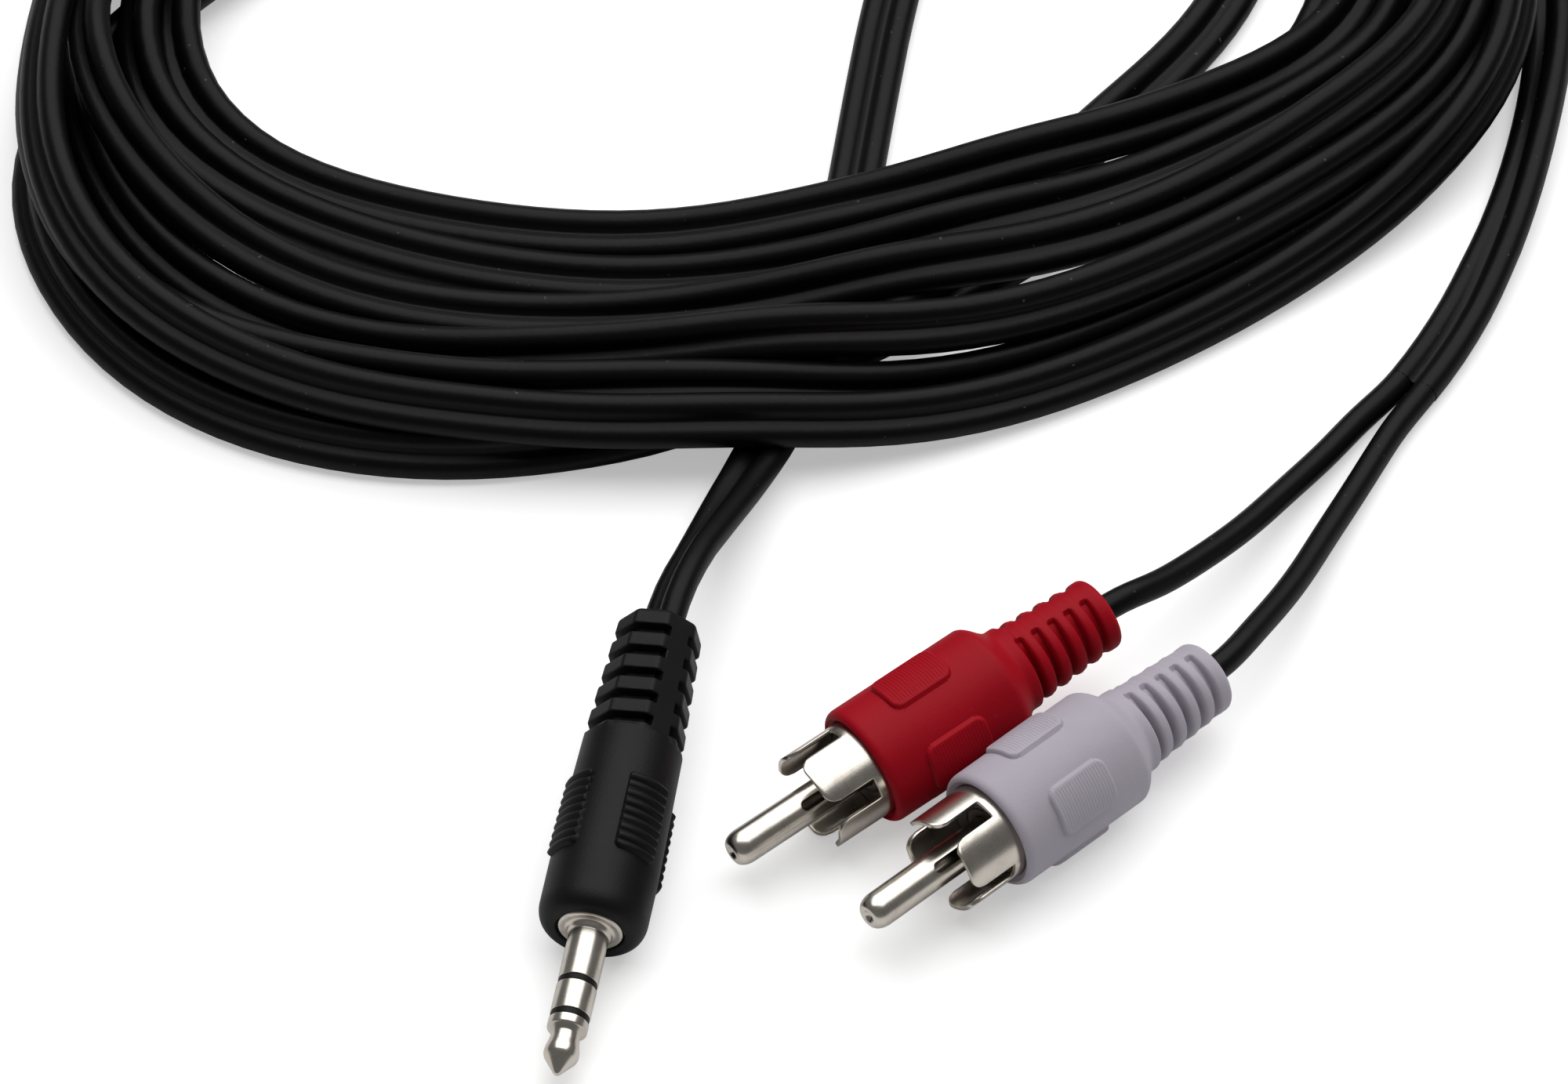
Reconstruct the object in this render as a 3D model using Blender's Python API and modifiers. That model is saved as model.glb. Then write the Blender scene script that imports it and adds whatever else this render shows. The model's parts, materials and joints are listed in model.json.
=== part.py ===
"""Audio cable: a stereo mini jack, a coiled twin lead, and a red and a white phono plug.

Each plug is modelled along its own axis, with +Z toward its tip and its front face at z = 0.
An empty lays it on the table, where the loose cable runs between the three.
"""

import math

import bmesh
import bpy
from mathutils import Matrix, Vector

# The layout's own origin is the middle of the cable's loop; the part's is under the middle of the plugs
PLUGS_MIDDLE = Vector((0.008763, -0.036866, 0))

# Where each plug lies: middle of its front face, its tip's heading and tip-down pitch, its spine's roll,
# and on the phono plugs the turn of the shell's slots and of the pin's hole
JACK_FACE = Vector((-0.01652, -0.04715, 0.00452))
JACK_HEADING = -100.95
JACK_PITCH = 6.5
JACK_ROLL = 37.3
RED_FACE = Vector((0.00657, -0.03002, 0.00549))
RED_HEADING = -143.5
RED_PITCH = 6.0
RED_ROLL = -17.2
RED_SHELL_TURN = -34
RED_HOLE_TURN = -50
WHITE_FACE = Vector((0.01733, -0.03727, 0.00583))
WHITE_HEADING = -137.7
WHITE_PITCH = 0.0
WHITE_ROLL = -34.0
WHITE_SHELL_TURN = 4
WHITE_HOLE_TURN = -66

# Clearances between pieces that touch
SEAT = 0.0003
SLEEVING = 0.00005

# How finely shapes are turned and curved
STEPS = 28
INNER_STEPS = 20
JACK_STEPS = 20
CURVE_STEPS = 12
MERGE_DISTANCE = 0.000001
PARALLEL = 0.9
ROUND_END = 0.49

# The cable
LEAD_WIDTH = 0.0024
LOBE_WIDTH = 0.00245
TWIN_WIDTH = 0.0049
TWIN_SIDES = 6
TWIN_WAIST = 120
LEAD_STEP = 0.0062
TWIN_STEP = 0.0078
JACK_CABLE_TILT = JACK_ROLL - 90
JACK_CABLE_HELD = 0.55
COIL_HEIGHT = 0.0105
COIL_EDGE = 0.0022

# Phono plug boot
BOOT_RADIUS = 0.00555
BOOT_LIP_RADIUS = 0.0050
BOOT_VALLEY = 0.00045
BOOT_EDGE = 0.0008
BOOT_BODY_LENGTH = 0.0136
BOOT_SHOULDER_LENGTH = 0.0024
BOOT_NECK_RADIUS = 0.0039
RELIEF_FRONT_RADIUS = 0.0037
RELIEF_REAR_RADIUS = 0.0033
RELIEF_FIRST_SLOT = 0.0172
RELIEF_PITCH = 0.00172
RELIEF_SLOTS = 5
RELIEF_SLOT_WIDTH = 0.0005
RELIEF_SLOT_MOUTH = 0.00095
RELIEF_SLOT_FLARE = 0.00035
RELIEF_CORE_RADIUS = 0.00245
RELIEF_SPINE_WIDTH = 0.0022
COLLAR_RADIUS = 0.00315
COLLAR_LENGTH = 0.0016
COLLAR_EDGE = 0.0005

# Finger pads of the phono plug boot
PAD_START = 0.0039
PAD_LENGTH = 0.0063
PAD_WIDTH = 0.0047
PAD_CORNER = 0.0010
PAD_PROUD = 0.00038
PAD_RIM = 0.0003

# Phono plug metal
SHELL_RADIUS = 0.0045
SHELL_WALL = 0.0004
SHELL_RING_FRONT = 0.0008
SHELL_FRONT = 0.0055
SHELL_DEPTH = 0.0025
SHELL_BACK_WALL = 0.0005
SHELL_SLOT_WIDTH = 0.0020
SHELL_CORNER = 0.0013
SHELL_SLOTS = (45, 135)
PIN_RADIUS = 0.0016
PIN_LENGTH = 0.0138
PIN_BORE = 0.0011
PIN_NOSE = 0.0014
PIN_DIMPLE = 0.0004
PIN_HOLE_START = 0.0030
PIN_HOLE_LENGTH = 0.0038
PIN_HOLE_WIDTH = 0.0010
PIN_SEAT_DEPTH = 0.0008
PIN_TAIL_RADIUS = 0.0012
PIN_TAIL_BORE = 0.00075
PIN_TAIL_LENGTH = 0.0060
INSULATOR_STUB = 0.0019
INSULATOR_REAR = 0.0042

# Inside the phono plug boot
MOULD_RADIUS = 0.0042
MOULD_LENGTH = 0.0140
MOULD_POCKET = 0.0031
MOULD_POCKET_LENGTH = 0.0095
CORE_RADIUS = 0.00045
SCREEN_RADIUS = 0.0004
SCREEN_OFFSET = 0.0024

# Mini jack metal
JACK_PLATE_RADIUS = 0.00295
JACK_PLATE_DEPTH = 0.0008
JACK_LIP_RADIUS = 0.0019
JACK_LIP_HEIGHT = 0.0004
JACK_SHAFT_RADIUS = 0.00175
JACK_LENGTH = 0.0145
JACK_BAND_WIDTH = 0.0006
JACK_REAR_BAND = 0.0055
JACK_FRONT_BAND = 0.0089
JACK_SHOULDER = 0.0100
JACK_NECK = 0.0106
JACK_NECK_RADIUS = 0.00128
JACK_BULGE = 0.0121
JACK_BULGE_RADIUS = 0.0014
JACK_POINT_RADIUS = 0.0004
JACK_ROD_RADIUS = 0.0005
JACK_STEM_INNER = 0.00075
JACK_STEM_RADIUS = 0.00100
JACK_SLEEVE_BORE = 0.00130
JACK_SLEEVE_TAIL = 0.0040
JACK_STEM_TAIL = 0.0055
JACK_ROD_TAIL = 0.0070

# Mini jack boot
JACK_BOOT_RADIUS = 0.00475
JACK_BOOT_REAR_RADIUS = 0.00435
JACK_BOOT_EDGE = 0.00115
JACK_BOOT_EDGE_LENGTH = 0.0018
JACK_BOOT_TAPER_START = 0.0060
JACK_BOOT_LENGTH = 0.0196
JACK_PAD_START = 0.0060
JACK_PAD_LENGTH = 0.0079
JACK_PAD_WIDTH = 0.0040
JACK_PAD_PROUD = 0.0004
JACK_PAD_RIBS = 9
JACK_RIB_DEPTH = 0.00018
JACK_RIB_CREST = (0.25, 0.7)
JACK_RELIEF_SIDES = 8
JACK_RELIEF_LENGTH = 0.0314
JACK_RELIEF_FRONT = 0.0081
JACK_RELIEF_REAR = 0.0069
JACK_RELIEF_EDGE = 0.0005
JACK_RELIEF_OVERLAP = 0.0008
JACK_FIRST_SLOT = 0.0196
JACK_SLOT_PITCH = 0.00238
JACK_SLOTS = 5
JACK_SLOT_WIDTH = 0.00095
JACK_SLOT_DEPTH = 0.0010
JACK_SPINE_WIDTH = 0.0018
JACK_MOULD_RADIUS = 0.0031
JACK_MOULD_LENGTH = 0.0180
JACK_MOULD_POCKET = 0.0022
JACK_MOULD_POCKET_LENGTH = 0.0110
JACK_CORE_OFFSET = 0.00123

# Routes of the loose cable, in the layout's frame, each a list of points picked by eye
JACK_END_ROUTE = (
    (-0.0083, -0.0046, 0.0072),
    (-0.0064, -0.0002, 0.0056),
    (-0.0042, 0.0040, 0.0040),
    (-0.0024, 0.0076, 0.0028),
    (-0.0011, 0.0110, 0.0021),
)
ACROSS_ROUTE = (
    (0.0067, 0.0437, 0.0013),
    (0.0072, 0.0478, 0.0013),
    (0.0078, 0.0520, 0.0013),
    (0.0086, 0.0567, 0.0013),
    (0.0094, 0.0614, 0.0013),
    (0.0103, 0.0660, 0.0013),
    (0.0113, 0.0706, 0.0013),
    (0.0125, 0.0752, 0.0013),
    (0.0139, 0.0800, 0.0013),
    (0.0154, 0.0848, 0.0013),
    (0.0172, 0.0898, 0.0013),
    (0.0192, 0.0950, 0.0013),
    (0.0211, 0.0993, 0.0013),
)
PLUG_END_ROUTE = (
    (0.0691, 0.0640, 0.0030),
    (0.0690, 0.0599, 0.0029),
    (0.0680, 0.0558, 0.0027),
    (0.0670, 0.0519, 0.0025),
    (0.0664, 0.0473, 0.0024),
    (0.0658, 0.0426, 0.0024),
    (0.0651, 0.0389, 0.0024),
    (0.0642, 0.0352, 0.0024),
    (0.0632, 0.0320, 0.0023),
    (0.0619, 0.0289, 0.0022),
    (0.0604, 0.0256, 0.0020),
    (0.0586, 0.0223, 0.0018),
    (0.0570, 0.0196, 0.0015),
    (0.0552, 0.0168, 0.0013),
)
RED_LEAD_ROUTE = (
    (0.0362, -0.0064, 0.0078),
    (0.0391, -0.0028, 0.0058),
    (0.0417, 0.0008, 0.0038),
    (0.0441, 0.0044, 0.0024),
    (0.0464, 0.0076, 0.0016),
    (0.0488, 0.0103, 0.0013),
    (0.0513, 0.0134, 0.0013),
    (0.0540, 0.0172, 0.0013),
)
WHITE_LEAD_ROUTE = (
    (0.0442, -0.0104, 0.0050),
    (0.0463, -0.0060, 0.0036),
    (0.0478, -0.0020, 0.0024),
    (0.0492, 0.0016, 0.0016),
    (0.0506, 0.0050, 0.0013),
    (0.0521, 0.0082, 0.0013),
    (0.0538, 0.0116, 0.0013),
    (0.0561, 0.0159, 0.0013),
)
COIL_OUTLINE = (
    (-0.0684, 0.0430), (-0.0674, 0.0315), (-0.0608, 0.0206), (-0.0500, 0.0112),
    (-0.0350, 0.0064), (-0.0215, 0.0084), (-0.0094, 0.0120), (0.0061, 0.0127),
    (0.0202, 0.0180), (0.0337, 0.0246), (0.0471, 0.0338), (0.0566, 0.0430),
    (0.0625, 0.0505), (0.0660, 0.0610), (0.0675, 0.0760), (0.0655, 0.0900),
    (0.0560, 0.1070), (0.0380, 0.1200), (0.0150, 0.1255), (-0.0080, 0.1225),
    (-0.0280, 0.1140), (-0.0440, 0.1020), (-0.0570, 0.0870), (-0.0650, 0.0700),
    (-0.0680, 0.0560),
)
COIL_OPENING = (
    (-0.0459, 0.0482), (-0.0337, 0.0426), (-0.0135, 0.0385), (0.0040, 0.0420),
    (0.0256, 0.0490), (0.0400, 0.0600), (0.0470, 0.0740), (0.0440, 0.0900),
    (0.0300, 0.1000), (0.0120, 0.1010), (-0.0100, 0.0950), (-0.0300, 0.0820),
    (-0.0440, 0.0660),
)
COIL_ARC_STEPS = 2

RED = (0.36, 0.012, 0.02)
WHITE = (0.78, 0.77, 0.80)
BLACK = (0.018, 0.018, 0.019)
NICKEL = (0.62, 0.59, 0.54)
DARK_PLASTIC = (0.03, 0.02, 0.015)
MOULD_PLASTIC = (0.55, 0.52, 0.46)
COPPER = (0.72, 0.36, 0.2)
CORE_WHITE = (0.75, 0.74, 0.7)
CORE_RED = (0.45, 0.03, 0.03)


def clear_scene():
    for obj in list(bpy.data.objects):
        bpy.data.objects.remove(obj, do_unlink=True)


def make_collection(name):
    collection = bpy.data.collections.new(name)
    bpy.context.scene.collection.children.link(collection)
    return collection


def make_material(name, colour, roughness, metallic=0.0):
    material = bpy.data.materials.new(name)
    material.use_nodes = True
    shader = material.node_tree.nodes["Principled BSDF"]
    shader.inputs["Base Color"].default_value = (*colour, 1)
    shader.inputs["Roughness"].default_value = roughness
    shader.inputs["Metallic"].default_value = metallic
    return material


def add_object(name, data, collection, parent):
    obj = bpy.data.objects.new(name, data)
    collection.objects.link(obj)
    obj.parent = parent
    return obj


def finish_piece(obj, material):
    obj.data.materials.append(material)
    return obj


def add_cutter(name, mesh, parent):
    cutter = add_object(name, mesh, CUTTERS, parent)
    cutter.hide_render = True
    cutter.display_type = "WIRE"
    return cutter


def turned_mesh(name, profile, closed=False):
    """A profile of (radius, z) points, down its outer side, ready to be turned about Z."""
    mesh = bpy.data.meshes.new(name)
    points = [(radius, 0, z) for radius, z in profile]
    edges = [(i, i + 1) for i in range(len(points) - 1)]
    if closed:
        edges.append((len(points) - 1, 0))
    mesh.from_pydata(points, edges, [])
    return mesh


def turn(obj, steps=STEPS):
    screw = obj.modifiers.new("Turn", "SCREW")
    screw.axis = "Z"
    screw.steps = steps
    screw.render_steps = steps
    screw.use_merge_vertices = True
    screw.merge_threshold = MERGE_DISTANCE
    screw.use_smooth_shade = True
    return obj


def turned_piece(name, profile, material, parent, closed=False, steps=STEPS):
    obj = add_object(name, turned_mesh(name, profile, closed), PARTS, parent)
    return finish_piece(turn(obj, steps), material)


def turned_cutter(name, profile, parent, closed=False, steps=STEPS):
    return turn(add_cutter(name, turned_mesh(name, profile, closed), parent), steps)


def combine(obj, other, operation):
    boolean = obj.modifiers.new(f"{operation.title()} {other.name}", "BOOLEAN")
    boolean.operation = operation
    boolean.object = other
    return obj


def block_mesh(name, size, centre, rounded_along=None, corner=0.0, segments=3):
    """A box, with its four edges along one axis rounded if that axis is named."""
    shape = bmesh.new()
    bmesh.ops.create_cube(shape, size=1)
    bmesh.ops.scale(shape, vec=size, verts=shape.verts)
    if rounded_along is not None:
        along = Vector([float(axis == rounded_along) for axis in range(3)])
        edges = [
            edge for edge in shape.edges
            if abs((edge.verts[1].co - edge.verts[0].co).normalized().dot(along)) > PARALLEL
        ]
        bmesh.ops.bevel(
            shape, geom=edges, offset=corner, segments=segments, profile=0.5,
            affect="EDGES", clamp_overlap=True, material=-1,
        )
    bmesh.ops.translate(shape, vec=centre, verts=shape.verts)
    mesh = bpy.data.meshes.new(name)
    shape.to_mesh(mesh)
    shape.free()
    return mesh


def round_edge(start, end, count=4):
    """Points of a quarter ellipse from a flat face at start out to a side wall at end."""
    points = []
    for i in range(count + 1):
        angle = math.pi / 2 * i / count
        radius = start[0] + (end[0] - start[0]) * math.sin(angle)
        z = end[1] + (start[1] - end[1]) * math.cos(angle)
        points.append((radius, z))
    return points


def smooth_step(start, end, count):
    """Points of an S curve between two points of a profile, without the first."""
    points = []
    for i in range(1, count + 1):
        share = i / count
        eased = (1 - math.cos(math.pi * share)) / 2
        radius = start[0] + (end[0] - start[0]) * eased
        points.append((radius, start[1] + (end[1] - start[1]) * share))
    return points


def lay_down(name, face, heading, pitch, roll):
    """An empty whose +Z is the plug's tip, and whose +X is its spine, rolled from straight up."""
    heading = math.radians(heading)
    pitch = math.radians(pitch)
    roll = math.radians(roll)
    tip = Vector((
        math.cos(pitch) * math.cos(heading),
        math.cos(pitch) * math.sin(heading),
        -math.sin(pitch),
    ))
    side = Vector((-math.sin(heading), math.cos(heading), 0))
    spine = tip.cross(side) * math.cos(roll) + side * math.sin(roll)
    turn_to = Matrix((spine, tip.cross(spine), tip)).transposed()
    empty = add_object(name, None, PARTS, None)
    empty.matrix_world = Matrix.Translation(face - PLUGS_MIDDLE) @ turn_to.to_4x4()
    return empty


def add_empty(name, parent, turn_about_z):
    empty = add_object(name, None, PARTS, parent)
    empty.rotation_euler = (0, 0, math.radians(turn_about_z))
    return empty


# Phono plugs

def phono_boot_profile():
    neck = BOOT_BODY_LENGTH + BOOT_SHOULDER_LENGTH
    last_slot = RELIEF_FIRST_SLOT + RELIEF_PITCH * (RELIEF_SLOTS - 1)
    collar = last_slot + RELIEF_SLOT_WIDTH / 2
    end = collar + COLLAR_LENGTH
    valley_floor = SHELL_RADIUS + SLEEVING
    lip = [(0, -BOOT_VALLEY), (valley_floor, -BOOT_VALLEY)]
    lip += smooth_step((valley_floor, -BOOT_VALLEY), (BOOT_LIP_RADIUS, 0), 3)[:2]
    lip += round_edge((BOOT_LIP_RADIUS, 0), (BOOT_RADIUS, -BOOT_EDGE))
    body_end = (BOOT_RADIUS, -BOOT_BODY_LENGTH)
    shoulder = [body_end] + smooth_step(body_end, (BOOT_NECK_RADIUS, -neck), 5)
    ribs = [(RELIEF_FRONT_RADIUS, -RELIEF_FIRST_SLOT + RELIEF_SLOT_MOUTH)]
    ribs += [(RELIEF_REAR_RADIUS, -collar), (COLLAR_RADIUS, -collar - SLEEVING)]
    collar_side = (COLLAR_RADIUS, -end + COLLAR_EDGE)
    collar_corner = round_edge((COLLAR_RADIUS - COLLAR_EDGE, -end), collar_side, 2)
    return lip + shoulder + ribs + collar_corner[::-1] + [(0, -end)], end


def phono_pads(name, parent):
    """Four raised pads: a turned band, kept only where two crossing rounded blocks pass through it."""
    inner = BOOT_RADIUS - PAD_PROUD
    outer = BOOT_RADIUS + PAD_PROUD
    front = -PAD_START
    rear = -PAD_START - PAD_LENGTH
    band = [
        (inner, front), (outer - PAD_RIM, front), (outer, front - PAD_RIM),
        (outer, rear + PAD_RIM), (outer - PAD_RIM, rear), (inner, rear),
    ]
    pads = turned_cutter(f"{name}_pads", band, parent, closed=True)
    return keep_crossed(pads, PAD_START, PAD_LENGTH, PAD_WIDTH, PAD_CORNER, 4 * BOOT_RADIUS)


def keep_crossed(band, start, length, width, corner, reach):
    middle = (0, 0, -start - length / 2)
    across = block_mesh("across", (reach, width, length), middle, 0, corner)
    upright = block_mesh("upright", (width, reach, length), middle, 1, corner)
    blocks = [
        add_cutter(f"{band.name}_{mesh.name}", mesh, band.parent) for mesh in (across, upright)
    ]
    return combine(band, combine(blocks[0], blocks[1], "UNION"), "INTERSECT")


def phono_slots(name, parent):
    """Relief slots: turned grooves that flare at the mouth, broken by a spine along each side."""
    outer = BOOT_NECK_RADIUS + PAD_PROUD
    mesh = bpy.data.meshes.new(f"{name}_slots")
    points = []
    edges = []
    for slot in range(RELIEF_SLOTS):
        z = -RELIEF_FIRST_SLOT - RELIEF_PITCH * slot
        share = slot / max(RELIEF_SLOTS - 1, 1)
        crest = RELIEF_FRONT_RADIUS + (RELIEF_REAR_RADIUS - RELIEF_FRONT_RADIUS) * share
        half = RELIEF_SLOT_WIDTH / 2
        mouth = RELIEF_SLOT_MOUTH / 2
        groove = [
            (outer, mouth), (outer, -mouth), (crest, -mouth), (crest - RELIEF_SLOT_FLARE, -half),
            (RELIEF_CORE_RADIUS, -half), (RELIEF_CORE_RADIUS, half),
            (crest - RELIEF_SLOT_FLARE, half), (crest, mouth),
        ]
        first = len(points)
        points += [(radius, 0, z + rise) for radius, rise in groove]
        edges += [(first + i, first + (i + 1) % len(groove)) for i in range(len(groove))]
    mesh.from_pydata(points, edges, [])
    slots = turn(add_cutter(f"{name}_slots", mesh, parent))
    relief = RELIEF_PITCH * (RELIEF_SLOTS + 1)
    spine_size = (4 * outer, RELIEF_SPINE_WIDTH, relief)
    spine_middle = (0, 0, -RELIEF_FIRST_SLOT - RELIEF_PITCH * (RELIEF_SLOTS - 1) / 2)
    spine = add_cutter(f"{name}_spine", block_mesh("spine", spine_size, spine_middle), parent)
    return combine(slots, spine, "DIFFERENCE")


def phono_boot(name, material, parent):
    profile, end = phono_boot_profile()
    boot = turned_piece(f"{name}_boot", profile, material, parent)
    shell_bore = SHELL_RADIUS + SLEEVING
    mould_bore = MOULD_RADIUS + SLEEVING
    lead_bore = LEAD_WIDTH / 2 + SEAT
    shell_back = -SHELL_DEPTH - SEAT
    mould_back = -MOULD_LENGTH - SEAT
    cavity = [
        (0, BOOT_EDGE), (shell_bore, BOOT_EDGE), (shell_bore, shell_back),
        (mould_bore, shell_back), (mould_bore, mould_back), (lead_bore, mould_back),
        (lead_bore, -end - BOOT_EDGE), (0, -end - BOOT_EDGE),
    ]
    combine(boot, phono_pads(name, parent), "UNION")
    combine(boot, phono_slots(name, parent), "DIFFERENCE")
    combine(boot, turned_cutter(f"{name}_cavity", cavity, parent), "DIFFERENCE")
    return boot


def petal_gap_mesh(name):
    """The outline of one slot right across the shell, opening out round the petals' corners."""
    half = SHELL_SLOT_WIDTH / 2
    outline = [(half, SHELL_RING_FRONT), (half, SHELL_FRONT - SHELL_CORNER)]
    for i in range(1, 4):
        angle = math.pi / 2 * i / 3
        outline.append((
            half + SHELL_CORNER * (1 - math.cos(angle)),
            SHELL_FRONT - SHELL_CORNER * (1 - math.sin(angle)),
        ))
    outline.append((half + SHELL_CORNER, SHELL_FRONT + SHELL_CORNER))
    outline += [(-x, z) for x, z in reversed(outline)]
    shape = bmesh.new()
    near = [shape.verts.new((x, -2 * SHELL_RADIUS, z)) for x, z in outline]
    face = shape.faces.new(near)
    pushed = bmesh.ops.extrude_face_region(shape, geom=[face])["geom"]
    moved = [vert for vert in pushed if isinstance(vert, bmesh.types.BMVert)]
    bmesh.ops.translate(shape, vec=(0, 4 * SHELL_RADIUS, 0), verts=moved)
    bmesh.ops.recalc_face_normals(shape, faces=shape.faces)
    mesh = bpy.data.meshes.new(name)
    shape.to_mesh(mesh)
    shape.free()
    return mesh


def phono_shell(name, material, parent):
    bore = SHELL_RADIUS - SHELL_WALL
    hole = INSULATOR_STUB + SLEEVING
    back = -SHELL_DEPTH
    profile = [
        (bore, SHELL_FRONT), (SHELL_RADIUS, SHELL_FRONT), (SHELL_RADIUS, back),
        (hole, back), (hole, back + SHELL_BACK_WALL), (bore, back + SHELL_BACK_WALL),
    ]
    shell = turned_piece(f"{name}_shell", profile, material, parent, closed=True)
    for turn_about_z in SHELL_SLOTS:
        cutter = add_cutter(
            f"{name}_gap_{turn_about_z}", petal_gap_mesh(f"{name}_gap_{turn_about_z}"), parent
        )
        cutter.rotation_euler = (0, 0, math.radians(turn_about_z))
        combine(shell, cutter, "DIFFERENCE")
    return shell


def phono_pin(name, material, parent):
    tail = -PIN_TAIL_LENGTH
    front = PIN_LENGTH
    seat = -PIN_SEAT_DEPTH + SLEEVING
    profile = [(0, front - PIN_DIMPLE), (PIN_DIMPLE, front - PIN_DIMPLE / 2)]
    profile += round_edge((2 * PIN_DIMPLE, front), (PIN_RADIUS, front - PIN_NOSE))
    profile += [
        (PIN_RADIUS, seat), (PIN_TAIL_RADIUS, seat), (PIN_TAIL_RADIUS, tail),
        (PIN_TAIL_BORE, tail), (PIN_TAIL_BORE, seat), (PIN_BORE, PIN_HOLE_START / 2),
        (PIN_BORE, front - PIN_NOSE), (0, front - PIN_NOSE - PIN_DIMPLE),
    ]
    pin = turned_piece(f"{name}_pin", profile, material, parent, steps=INNER_STEPS)
    hole_middle = (PIN_RADIUS, 0, PIN_HOLE_START + PIN_HOLE_LENGTH / 2)
    size = (PIN_RADIUS, PIN_HOLE_WIDTH, PIN_HOLE_LENGTH)
    hole = block_mesh("hole", size, hole_middle, 0, PIN_HOLE_WIDTH * ROUND_END, 4)
    return combine(pin, add_cutter(f"{name}_pin_hole", hole, parent), "DIFFERENCE")


def phono_insulator(name, material, parent):
    disc = SHELL_RADIUS - SHELL_WALL - SLEEVING
    step = -SHELL_DEPTH + SHELL_BACK_WALL + SLEEVING
    bore = PIN_TAIL_RADIUS + SLEEVING
    recess = PIN_RADIUS + SLEEVING
    profile = [
        (recess, 0), (disc, 0), (disc, step), (INSULATOR_STUB, step),
        (INSULATOR_STUB, -INSULATOR_REAR), (bore, -INSULATOR_REAR),
        (bore, -PIN_SEAT_DEPTH), (recess, -PIN_SEAT_DEPTH),
    ]
    return turned_piece(f"{name}_insulator", profile, material, parent, closed=True)


def phono_mould(name, material, parent):
    front = -SHELL_DEPTH - SEAT
    pocket_back = -MOULD_POCKET_LENGTH
    bore = LEAD_WIDTH / 2 + SEAT
    profile = [
        (MOULD_POCKET, front), (MOULD_RADIUS, front), (MOULD_RADIUS, -MOULD_LENGTH),
        (bore, -MOULD_LENGTH), (bore, pocket_back), (MOULD_POCKET, pocket_back),
    ]
    return turned_piece(
        f"{name}_inner_mould", profile, material, parent, closed=True, steps=INNER_STEPS
    )


def phono_wires(name, parent):
    """The core soldered in the pin's tail, and the screen gathered to the back of the shell."""
    lead_end = -MOULD_POCKET_LENGTH - SEAT
    core = [(0, 0, -PIN_TAIL_LENGTH + PIN_TAIL_RADIUS), (0, 0, lead_end)]
    wire_piece(f"{name}_core", core, CORE_RADIUS, MATERIALS["core_left"], parent)
    screen_start = -SHELL_DEPTH - SEAT
    near_core = CORE_RADIUS + SCREEN_RADIUS + SLEEVING
    bend = (SCREEN_OFFSET, 0, (screen_start + lead_end) / 2)
    screen = [(SCREEN_OFFSET, 0, screen_start), bend, (near_core, 0, lead_end)]
    wire_piece(f"{name}_screen", screen, SCREEN_RADIUS, MATERIALS["copper"], parent)


def phono_plug(name, place, shell_turn, hole_turn, boot_material):
    phono_boot(name, boot_material, place)
    metal = add_empty(f"{name}_metal_turn", place, shell_turn)
    phono_shell(name, MATERIALS["nickel"], metal)
    phono_insulator(name, MATERIALS["dark_plastic"], metal)
    phono_pin(name, MATERIALS["nickel"], add_empty(f"{name}_pin_turn", place, hole_turn))
    phono_mould(name, MATERIALS["mould_plastic"], place)
    phono_wires(name, place)


# Mini jack

def jack_metal(place):
    half_band = JACK_BAND_WIDTH / 2
    sleeve_front = JACK_REAR_BAND - half_band
    ring_rear = JACK_REAR_BAND + half_band
    ring_front = JACK_FRONT_BAND - half_band
    tip_rear = JACK_FRONT_BAND + half_band
    nickel = MATERIALS["nickel"]
    dark = MATERIALS["dark_plastic"]
    sleeve = [
        (JACK_SLEEVE_BORE, sleeve_front), (JACK_SHAFT_RADIUS, sleeve_front),
        (JACK_SHAFT_RADIUS, JACK_LIP_HEIGHT), (JACK_LIP_RADIUS, JACK_LIP_HEIGHT),
        (JACK_LIP_RADIUS, 0), (JACK_PLATE_RADIUS, 0), (JACK_PLATE_RADIUS, -JACK_PLATE_DEPTH),
        (JACK_SHAFT_RADIUS, -JACK_PLATE_DEPTH), (JACK_SHAFT_RADIUS, -JACK_SLEEVE_TAIL),
        (JACK_SLEEVE_BORE, -JACK_SLEEVE_TAIL),
    ]
    turned_piece("jack_sleeve", sleeve, nickel, place, closed=True, steps=JACK_STEPS)
    ring = [
        (JACK_STEM_INNER, ring_front), (JACK_SHAFT_RADIUS, ring_front),
        (JACK_SHAFT_RADIUS, ring_rear), (JACK_STEM_RADIUS, ring_rear),
        (JACK_STEM_RADIUS, -JACK_STEM_TAIL), (JACK_STEM_INNER, -JACK_STEM_TAIL),
    ]
    turned_piece("jack_ring", ring, nickel, place, closed=True, steps=JACK_STEPS)
    tip = [(0, JACK_LENGTH)]
    tip += round_edge((JACK_POINT_RADIUS, JACK_LENGTH), (JACK_BULGE_RADIUS, JACK_BULGE), 5)
    tip += smooth_step((JACK_BULGE_RADIUS, JACK_BULGE), (JACK_NECK_RADIUS, JACK_NECK), 3)
    tip += [
        (JACK_SHAFT_RADIUS, JACK_SHOULDER), (JACK_SHAFT_RADIUS, tip_rear),
        (JACK_ROD_RADIUS, tip_rear), (JACK_ROD_RADIUS, -JACK_ROD_TAIL), (0, -JACK_ROD_TAIL),
    ]
    turned_piece("jack_tip", tip, nickel, place, steps=JACK_STEPS)
    jack_band("jack_front_insulator", ring_front, tip_rear, JACK_ROD_RADIUS, JACK_STEM_INNER,
              JACK_STEM_TAIL, dark, place)
    jack_band("jack_rear_insulator", sleeve_front, ring_rear, JACK_STEM_RADIUS,
              JACK_SLEEVE_BORE, JACK_SLEEVE_TAIL, dark, place)


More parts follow.
